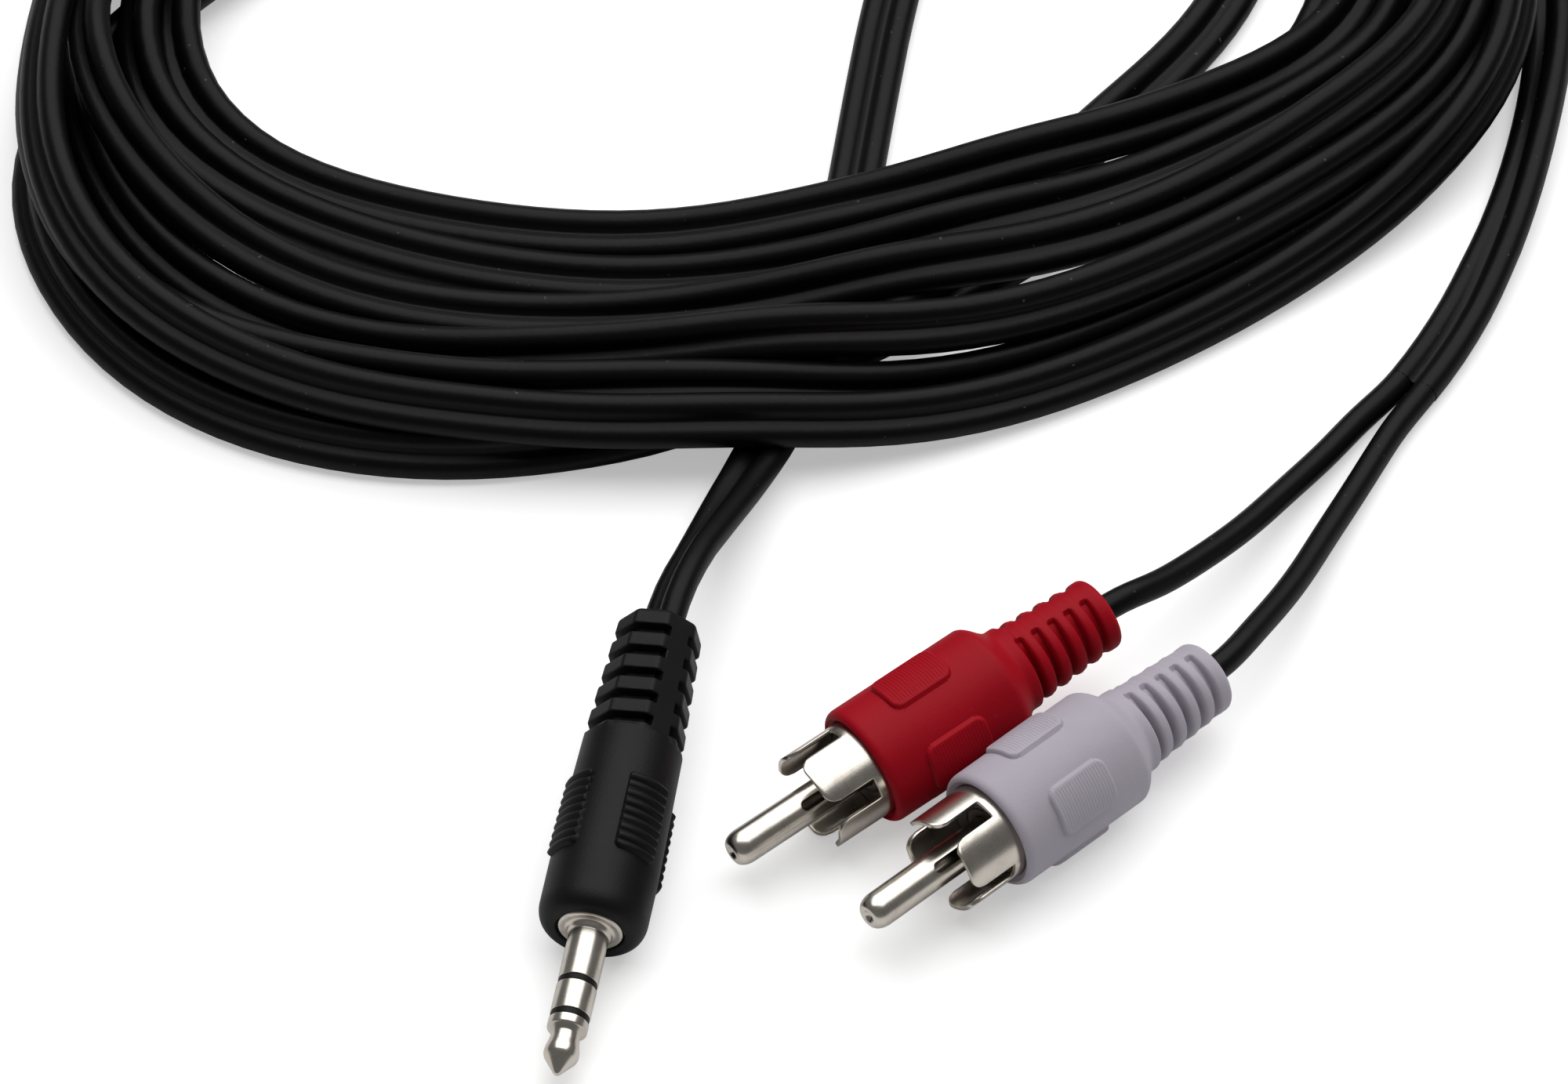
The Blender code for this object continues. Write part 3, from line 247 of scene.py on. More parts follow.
def settleCable(route, heap, tilt, free):
    # leans each stretch on its neighbours, then lets the whole cable sink onto the table and onto itself
    lobe, count = cable["lobe"], len(route)
    reached = np.arange(count) * cable["spacing"]
    held = np.clip((reached - cable["heldFrom"]) / cable["heldEase"], 0, 1)[:, None]
    loose = held * np.clip((count - 1 - np.arange(count)) / cable["endPoints"], 0, 1)[:, None]
    eased = smoothAlong(route, cable["routeEase"])
    eased = eased + smoothAlong(route - eased, cable["routeEase"])
    route = route * (1 - loose) + eased * loose * (1, 1, 0) + route * loose * (0, 0, 1)
    tangents = tangentsOf(route)
    level = tangents * (1, 1, 0)
    level /= np.linalg.norm(level, axis=1)[:, None]
    inward = np.stack([level[:, 1], -level[:, 0], level[:, 0] * 0], axis=1)
    lean = np.radians(smoothAlong(tilt, cable["tiltEase"]))[:, None]
    sides = inward * np.cos(lean) + np.array((0, 0, 1)) * np.sin(lean)
    # held by the jack's boot at first, the twin starts at the boot's roll
    spine = np.array(plugMatrix("jack").col[0][:3])
    spine = spine if np.dot(spine, sides[cable["rollPoint"]]) > 0 else -spine
    sides = spine * (1 - held) + sides * held
    sides /= np.linalg.norm(sides, axis=1)[:, None]
    half = sides * lobe / 2
    flat = np.concatenate([route + half, route - half])
    owner = np.concatenate([np.arange(count)] * 2)
    rise = np.concatenate([half[:, 2], -half[:, 2]])
    along = level[owner]
    floor = lobe / 2 + np.abs(half[:, 2])
    height = floor + np.array(heap) * cable["rankGap"]
    height = np.where(free > 0, height, route[:, 2])
    pairs = []
    for first in range(0, len(flat), cable["blocks"]):
        some = slice(first, first + cable["blocks"])
        gap = flat[None, :, :2] - flat[some, None, :2]
        forward = np.einsum("ijk,ik->ij", gap, along[some, :2])
        apart = np.einsum("ijk,ijk->ij", gap, gap) - forward ** 2
        near = (np.abs(forward) < cable["spacing"] * cable["abreast"]) & (apart < lobe ** 2)
        near &= np.abs(owner[some, None] - owner[None, :]) > cable["apartPoints"]
        a, b = np.nonzero(near)
        pairs.append(np.stack([a + first, b, np.sqrt(lobe ** 2 - np.maximum(apart[a, b], 0))]))
    a, b, need = np.concatenate(pairs, axis=1)
    a, b = a.astype(int), b.astype(int)
    upper = height[owner[b]] + rise[b] > height[owner[a]] + rise[a]
    a, b, need = a[upper], b[upper], need[upper]
    for step in range(cable["settleSteps"]):
        late = step > cable["settleSteps"] * cable["lateFrom"]
        height = height - (cable["sink"] if late else cable["fall"]) * (free > 0)
        height = np.where(free > 0, smoothAlong(height, 2 if late else 1), height)
        for _ in range(3):
            short = need - (height[owner[b]] + rise[b] - height[owner[a]] - rise[a])
            hit = short > 0
            lift, drop = np.zeros(count), np.zeros(count)
            np.maximum.at(lift, owner[b[hit]], short[hit] / 2)
            np.maximum.at(drop, owner[a[hit]], short[hit] / 2)
            height = np.where(free > 0, height + lift - drop, height)
            height = np.where(free > 0, np.maximum(height, floor), height)
    middle = route.copy()
    middle[:, 2] = np.where(free > 0, smoothAlong(height, cable["heightEase"]), height)
    leaving = slice(cable["bootPoints"])
    middle[leaving] = smoothAlong(middle[leaving], cable["bootEase"])
    short = need - (height[owner[b]] + rise[b] - height[owner[a]] - rise[a])
    print("heap settled, worst overlap", round(float(short.max()), 2), "mm")
    return middle, sides


def twinSection():
    # the twin's section: two round lobes joined by a web at the bottom of two grooves
    curve = bpy.data.curves.new("twinSection", "CURVE")
    curve.dimensions = "2D"
    radius = cable["lobe"] / 2 * mm
    spread = cable["grooveTurn"]
    points = []
    for side in (1, -1):
        for k in range(cable["lobeSides"]):
            angle = math.radians(spread - 2 * spread * k / (cable["lobeSides"] - 1))
            points.append((side * (radius + radius * math.cos(angle)), side * radius * math.sin(angle)))
    spline = curve.splines.new("POLY")
    spline.points.add(len(points) - 1)
    spline.use_cyclic_u = True
    for point, (x, y) in zip(spline.points, points):
        point.co = (x, y, 0, 1)
    return added("twinSection", curve)


def sweep(name, points, radius=0, section=None, sides=None, resolution=4):
    curve = bpy.data.curves.new(name, "CURVE")
    curve.dimensions = "3D"
    curve.twist_mode = "Z_UP"
    curve.bevel_depth = radius
    curve.bevel_resolution = resolution
    curve.use_fill_caps = True
    if section:
        curve.bevel_mode = "OBJECT"
        curve.bevel_object = section
    spline = curve.splines.new("POLY")
    spline.points.add(len(points) - 1)
    for target, point in zip(spline.points, points):
        target.co = (*point, 1)
    if sides is not None:
        tangents = tangentsOf(np.array([tuple(p) for p in points]))
        for i, side in enumerate(sides):
            tangent = Vector(tangents[i])
            level = Vector((tangent.y, -tangent.x, 0)).normalized()
            upright = level.cross(tangent)
            spline.points[i].tilt = -math.atan2(side.dot(upright), side.dot(level))
    obj = added(name, curve)
    bpy.context.view_layer.update()
    mesh = bpy.data.meshes.new_from_object(obj.evaluated_get(bpy.context.evaluated_depsgraph_get()))
    bpy.data.objects.remove(obj)
    shape = bmesh.new()
    shape.from_mesh(mesh)
    bmesh.ops.remove_doubles(shape, verts=shape.verts, dist=0.01 * mm)
    bmesh.ops.recalc_face_normals(shape, faces=shape.faces)
    shape.to_mesh(mesh)
    shape.free()
    mesh.shade_smooth()
    mesh.set_sharp_from_angle(angle=math.radians(cable["sharp"]))
    return added(name, mesh)


def makeTwin():
    route, heap, tilt, free, length = twinRoute()
    middle, sides = settleCable(route, heap, tilt, free)
    # steadied so that no lobe flips over between one point and the next
    for i in range(1, len(sides)):
        if np.dot(sides[i], sides[i - 1]) < 0:
            sides[i] = -sides[i]
    points = [Vector(p) * mm - plugsMiddle for p in middle]
    section = twinSection()
    twin = sweep("twin_cable", points, section=section, sides=[Vector(s) for s in sides])
    bpy.data.objects.remove(section)
    highest = round(float(middle[:, 2].max()), 1)
    print("twin cable of", round(length * mm, 3), "m in", len(points), "points, up to", highest, "mm")
    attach(twin, "root")
    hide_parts("cable_coil", "cable_jack_end", "cable_across", "cable_plug_end")
    round(length * mm, 2)
    # the middles of the two lobes at the split, where the leads take over
    onward = middle[-1] - middle[-2]
    onward *= cable["pastSplit"] / np.linalg.norm(onward)
    ends = []
    for side in (1, -1):
        lobe = [middle[k] + side * sides[k] * cable["lobe"] / 2 for k in (-1, -2, -3, -4)]
        ends.append([tuple(p) for p in [lobe[0] + onward] + lobe])
    return [twin] + sorted(ends, key=lambda lobe: lobe[0][0])


def makeLead(name, plug, route, lobe):
    # from the plug's mould, out of its boot, along the table and into the twin's lobe, then turned round
    inside = onAxis(plug, (10.1, 15, 20, 26.1, 28.5))
    steps, _ = smoothCurve(inside + route + lobe)
    points, _, length = evenly(steps, [0] * len(steps), cable["leadSpacing"])
    points = [Vector(p) * mm - plugsMiddle for p in smoothAlong(points, cable["leadEase"])][::-1]
    lead = sweep(name + "_cable", points, radius=cable["lead"] / 2 * mm)
    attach(lead, "root")
    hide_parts(name)
    return lead


twin, leftLobe, rightLobe = makeTwin()
redLead = makeLead("red_lead", "red", redRoute, leftLobe)
whiteLead = makeLead("white_lead", "white", whiteRoute, rightLobe)
print("cords laid")


# finishes: a socket that takes part in Python sums, and a material that grows node by node
class Wire:
    def __init__(self, finish, socket):
        self.finish, self.socket = finish, socket

    def __add__(self, other):
        return self.finish.sum("ADD", self, other)

    def __sub__(self, other):
        return self.finish.sum("SUBTRACT", self, other)

    def __rsub__(self, other):
        return self.finish.sum("SUBTRACT", other, self)

    def __mul__(self, other):
        return self.finish.sum("MULTIPLY", self, other)

    __radd__ = __add__
    __rmul__ = __mul__


class Finish:
    def __init__(self, name, fixed):
        self.material = bpy.data.materials.new(name)
        self.material.use_nodes = True
        self.tree = self.material.node_tree
        self.shader = self.tree.nodes["Principled BSDF"]
        for socket, value in fixed.items():
            self.shader.inputs[socket].default_value = value

    def add(self, kind, settings=None, values=None, out=0):
        node = self.tree.nodes.new("ShaderNode" + kind)
        for key, value in (settings or {}).items():
            setattr(node, key, value)
        for key, value in (values or {}).items():
            self.feed(node.inputs[key], value)
        return Wire(self, node.outputs[out])

    def feed(self, socket, value):
        if isinstance(value, Wire):
            self.tree.links.new(value.socket, socket)
        else:
            socket.default_value = value

    def sum(self, operation, a, b):
        return self.add("Math", {"operation": operation}, {0: a, 1: b})

    def between(self, value, low, high):
        # 0 below low, 1 above high, eased between them
        return self.add("MapRange", {"interpolation_type": "SMOOTHSTEP"},
                        {"Value": value, "From Min": low, "From Max": high})

    def noise(self, place, scale, detail=3, rough=0.55):
        values = {"Vector": place, "Scale": scale, "Detail": detail, "Roughness": rough}
        return self.add("TexNoise", {}, values)

    def mix(self, share, a, b):
        return self.add("Mix", {"data_type": "RGBA"}, {0: share, 6: a, 7: b}, out=2)

    def stretched(self, place, stretch):
        return self.add("Mapping", {"vector_type": "POINT"}, {"Vector": place, "Scale": stretch})

    def bump(self, height, depth):
        self.wear("Normal", self.add("Bump", {}, {"Height": height, "Distance": depth, "Strength": 1.0}))

    def wear(self, socket, value):
        self.feed(self.shader.inputs[socket], value)


def colour(red, green, blue, share=1.0):
    return (red * share, green * share, blue * share, 1)


def mouldedFinish(name, rgb, roughness, specular, dust, grain=0.00002):
    # soft moulded vinyl: cloudy colour, a fine dull grain, and a little dust and lint
    made = Finish(name, {"Specular IOR Level": specular})
    place = made.add("TexCoord", out="Object")
    cloud = made.noise(place, 160, 3)
    pores = made.noise(place, 5200, 2)
    cells = made.add("TexVoronoi", {}, {"Vector": place, "Scale": 520})
    rare = made.add("TexVoronoi", {}, {"Vector": place, "Scale": 520}, out=1)
    chosen = made.add("SeparateColor", {}, {0: rare})
    specks = (1 - made.between(cells, 0.03, 0.075)) * made.between(chosen, 0.8, 0.84)
    base = made.mix(cloud, colour(*rgb, 0.9), colour(*rgb, 1.1))
    made.wear("Base Color", made.mix(specks * dust, base, (0.75, 0.72, 0.7, 1)))
    made.wear("Roughness", roughness - 0.06 + cloud * 0.12 + pores * 0.05)
    made.bump(cloud * 2.0 + pores, grain)
    return made.material


def nickelFinish(name, rgb, roughness):
    # turned and pressed nickel: fine rings round the axis, faint drawn lines, cloudy tarnish
    made = Finish(name, {"Metallic": 1.0})
    place = made.add("Attribute", {"attribute_name": "place"}, out="Vector")
    rings = made.noise(made.stretched(place, (0.25, 0.25, 9)), 2.2, 2)
    drawn = made.noise(made.stretched(place, (7, 7, 0.15)), 2.0, 2)
    tarnish = made.noise(place, 0.55, 4, 0.6)
    made.wear("Base Color", made.mix(made.between(tarnish, 0.35, 0.75), colour(*rgb), colour(*rgb, 0.8)))
    made.wear("Roughness", roughness - 0.05 + rings * 0.07 + drawn * 0.05 + tarnish * 0.08)
    made.bump(rings * 0.6 + drawn * 0.5, 0.000006)
    return made.material


def jacketFinish(name, rgb, roughness):
    # black cable jacket: slightly glossy, with faint drag marks and dust
    made = Finish(name, {"Specular IOR Level": 0.15})
    place = made.add("TexCoord", out="Object")
    cloud = made.noise(place, 75, 3)
    skin = made.noise(place, 2600, 3)
    specks = made.between(made.noise(place, 1500, 1), 0.77, 0.8)
    base = made.mix(cloud, colour(*rgb, 0.8), colour(*rgb, 1.25))
    made.wear("Base Color", made.mix(specks * 0.25, base, (0.2, 0.2, 0.2, 1)))
    made.wear("Roughness", roughness - 0.05 + cloud * 0.1 + skin * 0.06)
    made.bump(cloud * 6.0 + skin, 0.000018)
    return made.material


finishes = dict(
    jacket=jacketFinish("cable jacket", (0.0018, 0.0018, 0.0021), 0.38),
    black=mouldedFinish("black boot", (0.0035, 0.0035, 0.004), 0.48, 0.2, 0.02),
    red=mouldedFinish("red boot", (0.36, 0.0008, 0.009), 0.56, 0.14, 0.12),
    white=mouldedFinish("white boot", (0.45, 0.415, 0.475), 0.56, 0.25, 0.04),
    nickel=nickelFinish("nickel", (0.66, 0.61, 0.545), 0.2),
    dark=mouldedFinish("insulator", (0.024, 0.014, 0.009), 0.36, 0.4, 0.0),
    mould=mouldedFinish("inner mould", (0.5, 0.47, 0.4), 0.6, 0.4, 0.0),
    core=mouldedFinish("core", (0.7, 0.7, 0.66), 0.5, 0.4, 0.0),
    copper=nickelFinish("copper", (0.72, 0.36, 0.2), 0.35),
)
slotFinish = dict(
    black_boot="black", red_boot="red", white_boot="white", cable_jacket="jacket", nickel="nickel",
    dark_insulator="dark", inner_mould="mould", core_jacket="core", copper="copper",
)
for part in frame["record"]["subparts"]:
    for s in frame["nodes"][part["node"]].material_slots:
        s.material = finishes[slotFinish[part["material_slot"]]]
for lead in (twin, redLead, whiteLead):
    lead.data.materials.clear()
    lead.data.materials.append(finishes["jacket"])
print("finishes made")


# the plugs: profiles in millimetres, radius and height above the front face, turned about the plug's axis
def eased(start, end, count):
    # an S curve from one profile point to the next, without the first
    shares = [k / count for k in range(1, count + 1)]
    wide, high = end[0] - start[0], end[1] - start[1]
    return [(start[0] + wide * (1 - math.cos(math.pi * s)) / 2, start[1] + high * s) for s in shares]


def quarter(start, end, count):
    # a quarter round from a flat face at start to a side wall at end
    turns = [math.pi / 2 * k / count for k in range(count + 1)]
    wide, high = end[0] - start[0], start[1] - end[1]
    return [(start[0] + wide * math.sin(t), end[1] + high * math.cos(t)) for t in turns]


def softened(points, reach, closed=True, count=3):
    # each corner of a profile worn into a small round
    worn = []
    for i, point in enumerate(points):
        here = Vector(point)
        if not closed and i in (0, len(points) - 1):
            worn.append(tuple(here))
            continue
        before, after = Vector(points[i - 1]) - here, Vector(points[(i + 1) % len(points)]) - here
        a = here + before * min(reach / before.length, 0.45)
        b = here + after * min(reach / after.length, 0.45)
        for k in range(count + 1):
            t = k / count
            worn.append(tuple(a * (1 - t) ** 2 + here * 2 * t * (1 - t) + b * t * t))
    return worn


def turned(profile, steps, closed=True):
    shape = bmesh.new()
    verts = [shape.verts.new((radius, 0, z)) for radius, z in profile]
    following = verts[1:] + verts[:1] if closed else verts[1:]
    edges = [shape.edges.new(pair) for pair in zip(verts, following)]
    bmesh.ops.spin(shape, geom=verts + edges, cent=(0, 0, 0), axis=(0, 0, 1), angle=math.tau, steps=steps,
                   use_merge=True)
    bmesh.ops.remove_doubles(shape, verts=shape.verts, dist=0.0005)
    bmesh.ops.recalc_face_normals(shape, faces=shape.faces)
    return shape


def placePiece(name, shape, plug, finish, node, sharp=36):
    spots = shape.verts.layers.float_vector.new("place")
    for vert in shape.verts:
        vert[spots] = vert.co
    bmesh.ops.transform(shape, matrix=plugMatrix(plug) @ Matrix.Scale(mm, 4), verts=shape.verts)
    mesh = meshFrom(shape, name)
    mesh.shade_smooth()
    mesh.set_sharp_from_angle(angle=math.radians(sharp))
    mesh.materials.append(finishes[finish])
    piece = added(name, mesh)
    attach(piece, "root")
    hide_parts(node)
    return piece


def roundedField(across, along, width, length, corner):
    # how far inside a round-cornered field a spot lies
    a, b = abs(across) - width / 2 + corner, abs(along) - length / 2 + corner
    return corner - math.hypot(max(a, 0), max(b, 0)) - min(max(a, b), 0)


def step(value, low, high):
    share = min(max((value - low) / (high - low), 0), 1)
    return share * share * (3 - 2 * share)


def rowsDown(start, end, spacing):
    count = max(int(round((start - end) / spacing)), 1)
    return [start + (end - start) * k / count for k in range(count + 1)]


phonoBoot = dict(
    radius=5.55, lip=5.0, valley=0.45, edge=0.8, bodyEnd=13.6, neck=3.95, neckEnd=16.0, steps=240,
    shellBore=4.55, shellBack=2.8, mouldBore=4.25, mouldBack=14.3, leadBore=1.5,
    padStart=3.9, padLength=6.3, padWidth=4.7, padCorner=1.0, padProud=0.38, padRim=0.32,
    ribPitch=0.3, ribDepth=0.055, rowSpacing=0.06,
    firstSlot=17.2, slotPitch=1.72, slots=5, front=3.72, rear=3.34, core=2.45,
    spineHalf=1.02, shallow=0.5, slotEnd=0.3,
    groove=((0.62, 0), (0.5, 0.02), (0.42, 0.09), (0.35, 0.2), (0.29, 0.36), (0.255, 9), (0.2, 9.2)),
    collarEdge=0.62, collarRadius=3.36, end=25.93,
)


def bootGroove(angle, crest, offset, p):
    # how open a slot is here and how deep: round at its end beside the spine, down to the core half way round
    aside = crest * abs(math.sin(angle))
    corner = min(offset / p["groove"][1][0], 1)
    start = p["spineHalf"] + p["slotEnd"] * (1 - math.sqrt(1 - corner * corner))
    full = p["shallow"] + (crest - p["core"] - p["shallow"]) * step(aside, p["spineHalf"], crest)
    return step(aside, start, start + 0.26), full


def makePhonoBoot(name, plug, finish):
    p = phonoBoot
    outer = [(p["shellBore"], -p["valley"])] + eased((p["shellBore"], -p["valley"]), (p["lip"], 0), 6)
    outer += quarter((p["lip"], 0), (p["radius"], -p["edge"]), 8)[1:]
    padFront, padBack = -p["padStart"] + 0.1, -p["padStart"] - p["padLength"] - 0.1
    heights = rowsDown(-p["edge"], padFront, 0.4)[1:] + rowsDown(padFront, padBack, p["rowSpacing"])[1:]
    heights += rowsDown(padBack, -p["bodyEnd"], 0.4)[1:]
    outer += [(p["radius"], z) for z in heights]
    outer += eased((p["radius"], -p["bodyEnd"]), (p["neck"], -p["neckEnd"]), 16)
    cuts = {}
    last = -p["firstSlot"] - p["slotPitch"] * (p["slots"] - 1)
    for slotNumber in range(p["slots"]):
        middle = -p["firstSlot"] - p["slotPitch"] * slotNumber
        share = slotNumber / (p["slots"] - 1)
        crest = p["front"] + (p["rear"] - p["front"]) * share
        ahead = p["neck"] if slotNumber == 0 else crest + 0.03
        offsets = [(o, d) for o, d in p["groove"]] + [(0, 9.4)] + [(-o, d) for o, d in reversed(p["groove"])]
        for offset, depth in offsets:
            z = middle + offset
            outer.append((ahead if offset > 0 else crest, z))
            cuts[round(z, 3)] = depth, abs(offset)
        if slotNumber < p["slots"] - 1:
            outer.append((crest + 0.02, middle - p["slotPitch"] / 2))
    outer += [(p["collarRadius"], last - 0.75), (p["collarRadius"], -p["end"] + p["collarEdge"])]
    outer += quarter((p["collarRadius"] - p["collarEdge"], -p["end"]),
                     (p["collarRadius"], -p["end"] + p["collarEdge"]), 7)[-2::-1]
    inner = [(p["leadBore"] + 0.15, -p["end"]), (p["leadBore"], -p["end"] + 0.15)]
    inner += [(p["leadBore"], -p["mouldBack"]), (p["mouldBore"], -p["mouldBack"])]
    inner += [(p["mouldBore"], -p["shellBack"]), (p["shellBore"], -p["shellBack"])]
    shape = turned(outer + inner, p["steps"])
    padMiddle = -p["padStart"] - p["padLength"] / 2
    for vert in shape.verts:
        x, y, z = vert.co
        radius, angle = math.hypot(x, y), math.atan2(y, x)
        raised = radius
        if padBack < z < padFront and radius > p["radius"] - 0.1:
            across = radius * (angle - round(angle / (math.pi / 2)) * math.pi / 2)
            inside = roundedField(across, z - padMiddle, p["padWidth"], p["padLength"], p["padCorner"])
            rim = min(max(inside / p["padRim"], 0), 1)
            ribs = (1 - math.cos(math.tau * z / p["ribPitch"])) / 2
            ribs *= step(inside, p["padRim"], p["padRim"] + 0.2)
            raised += p["padProud"] * math.sqrt(1 - (1 - rim) ** 2) - p["ribDepth"] * ribs
        elif round(z, 3) in cuts and radius > p["core"] + 0.4:
            depth, offset = cuts[round(z, 3)]
            opened, full = bootGroove(angle, radius, offset, p)
            raised -= min(depth, full) * opened
        if raised != radius:
            vert.co.x, vert.co.y = x * raised / radius, y * raised / radius
    return placePiece(name, shape, plug, finish, plug + "_boot")


phonoShell = dict(
    radius=4.5, wall=0.4, ringFront=0.8, front=5.5, back=2.5, hole=1.95, slotWidth=2.0, corner=1.3, steps=120,
    worn=0.07, rows=14,
)


def makeShell(name, plug, turn):
    p = phonoShell
    profile = [(p["hole"], -p["back"]), (p["radius"], -p["back"]), (p["radius"], 0)]
    petal = p["front"] - p["ringFront"]
    profile += [(p["radius"], p["ringFront"] + petal * k / p["rows"]) for k in range(p["rows"] + 1)]
    shape = turned(profile, p["steps"], closed=False)
    quarterTurn = math.pi / 2
    slotEdge = math.asin(p["slotWidth"] / 2 / p["radius"])
    column = math.tau / p["steps"]
    nearest = round(slotEdge / column) * column
    gone = []
    for face in shape.faces:
        middle = face.calc_center_median()
        away = math.atan2(middle.y, middle.x) / quarterTurn
        away = abs(away - round(away)) * quarterTurn
        if middle.z > p["ringFront"] and away < nearest:
            gone.append(face)
    bmesh.ops.delete(shape, geom=gone, context="FACES")
    for vert in shape.verts:
        angle = math.atan2(vert.co.y, vert.co.x)
        sector = round(angle / quarterTurn)
        away = angle - sector * quarterTurn
        if abs(away) <= nearest + 1e-5:
            moved = abs(away) * slotEdge / nearest
        else:
            wider = (quarterTurn / 2 - slotEdge) / (quarterTurn / 2 - nearest)
            moved = slotEdge + (abs(away) - nearest) * wider
        angle = sector * quarterTurn + math.copysign(moved, away)
        radius = math.hypot(vert.co.x, vert.co.y)
        if vert.co.z > p["ringFront"] + 0.01:
            inset = min(p["radius"] * moved - p["radius"] * slotEdge, p["corner"])
            drop = p["corner"] - math.sqrt(max(p["corner"] ** 2 - (p["corner"] - inset) ** 2, 0))
            share = (vert.co.z - p["ringFront"]) / (p["front"] - p["ringFront"])
            vert.co.z -= drop * share
        vert.co.x, vert.co.y = radius * math.cos(angle), radius * math.sin(angle)
    sides = [face for face in shape.faces if face.calc_center_median().z > 0]
    outward = sum(face.normal.dot(Vector((*face.calc_center_median().xy, 0))) for face in sides)
    if outward < 0:
        bmesh.ops.reverse_faces(shape, faces=shape.faces)
    rolled = Matrix.Rotation(math.radians(turn + 45), 3, "Z")
    bmesh.ops.rotate(shape, cent=(0, 0, 0), matrix=rolled, verts=shape.verts)
    shell = placePiece(name, shape, plug, "nickel", plug + "_shell")
    wall = shell.modifiers.new("wall", "SOLIDIFY")
    wall.thickness = p["wall"] * mm
    wall.offset = -1
    wall.use_even_offset = True
    worn = shell.modifiers.new("worn edges", "BEVEL")
    worn.width = p["worn"] * mm
    worn.segments = 2
    worn.limit_method = "ANGLE"
    worn.angle_limit = math.radians(50)
    return shell


phonoPin = dict(
    radius=1.6, length=13.8, bore=1.1, nose=1.4, seat=0.75, tailRadius=1.2, tailBore=0.75, tail=6.0, steps=96,
    holeStart=3.0, holeLength=3.8, holeWidth=1.0,
    dimple=((0, 13.34), (0.2, 13.37), (0.38, 13.5), (0.52, 13.66), (0.66, 13.77)),
)


def makePin(name, plug, turn):
    p = phonoPin
    profile = list(p["dimple"]) + quarter((0.86, p["length"]), (p["radius"], p["length"] - p["nose"]), 12)
    profile += softened([
        (p["radius"], -p["seat"]), (p["tailRadius"], -p["seat"]), (p["tailRadius"], -p["tail"]),
        (p["tailBore"], -p["tail"]), (p["tailBore"], -p["seat"]), (p["bore"], p["holeStart"] / 2),
        (p["bore"], p["length"] - p["nose"]),
    ], 0.06)[1:]
    profile.append((0, p["length"] - p["nose"] - 0.4))
    shape = turned(profile, p["steps"], closed=False)
    tube = meshFrom(shape, "tube")
    cut = bmesh.new()
    bmesh.ops.create_circle(cut, cap_ends=True, radius=p["holeWidth"] / 2, segments=40,
                            matrix=Matrix.Rotation(math.pi / 2, 4, "Y"))
    for vert in cut.verts:
        vert.co.z += math.copysign((p["holeLength"] - p["holeWidth"]) / 2, vert.co.z)
    pushed = bmesh.ops.extrude_face_region(cut, geom=list(cut.faces))["geom"]
    pushed = [g for g in pushed if isinstance(g, bmesh.types.BMVert)]
    bmesh.ops.translate(cut, vec=(2 * p["radius"], 0, 0), verts=pushed)
    bmesh.ops.translate(cut, vec=(p["bore"] / 2, 0, p["holeStart"] + p["holeLength"] / 2), verts=cut.verts)
    bmesh.ops.rotate(cut, cent=(0, 0, 0), matrix=Matrix.Rotation(math.radians(turn), 3, "Z"), verts=cut.verts)
    bmesh.ops.recalc_face_normals(cut, faces=cut.faces)
    body, cutter = added("tube", tube), added("cut", meshFrom(cut, "cut"))
    hole = body.modifiers.new("hole", "BOOLEAN")
    hole.operation = "DIFFERENCE"
    hole.solver = "EXACT"
    hole.object = cutter
    bpy.context.view_layer.update()
    mesh = bpy.data.meshes.new_from_object(body.evaluated_get(bpy.context.evaluated_depsgraph_get()))
    for obj in (body, cutter):
        bpy.data.objects.remove(obj)
    shape = bmesh.new()
    shape.from_mesh(mesh)
    return placePiece(name, shape, plug, "nickel", plug + "_pin", sharp=30)


insulatorProfile = (
    (1.65, 0), (2.3, 0), (2.38, -0.12), (2.52, -0.12), (2.6, 0), (4.05, 0), (4.05, -1.95), (1.9, -1.95),
    (1.9, -4.2), (1.25, -4.2), (1.25, -0.8), (1.65, -0.8),
)


def makeInsulator(name, plug):
    shape = turned(softened(insulatorProfile, 0.05), 96)
    return placePiece(name, shape, plug, "dark", plug + "_insulator")


shellTurns = dict(red=-34, white=4)
holeTurns = dict(red=-50, white=-66)
for plug in ("red", "white"):
    makePhonoBoot(plug + "_moulded_boot", plug, plug)
    makeShell(plug + "_petal_shell", plug, shellTurns[plug])
    makePin(plug + "_centre_pin", plug, holeTurns[plug])
    makeInsulator(plug + "_insulator_disc", plug)
print("phono plugs made")

# the mini jack's turned metal, front to back
jackMetal = dict(
    jack_sleeve=dict(
        piece="jack_sleeve_metal", worn=0.07,
        profile=(
            (1.3, 5.2), (1.75, 5.2), (1.75, 0.55), (1.9, 0.4), (2.02, 0.12), (2.2, -0.02), (2.62, 0),
            (2.8, -0.1), (2.95, -0.28), (2.95, -0.8), (1.75, -0.8), (1.75, -4.0), (1.3, -4.0),
        ),
    ),
    jack_ring=dict(
        piece="jack_ring_metal", worn=0.05,
        profile=((0.75, 8.6), (1.75, 8.6), (1.75, 5.8), (1.0, 5.8), (1.0, -5.5), (0.75, -5.5)),
    ),
)
jackTip = dict(
    worn=((1.75, 9.2), (1.75, 10.0)), neck=(1.27, 10.75), bulge=(1.53, 12.45), point=(0.34, 14.32), nose=14.5,
    rod=0.5, rodTail=7.0,
)
jackBands = dict(
    jack_rear_insulator=((1.05, 5.75), (1.7, 5.75), (1.7, 5.25), (1.25, 5.25), (1.25, -4.4), (1.05, -4.4)),
    jack_front_insulator=((0.55, 9.15), (1.7, 9.15), (1.7, 8.65), (0.7, 8.65), (0.7, -5.9), (0.55, -5.9)),
)


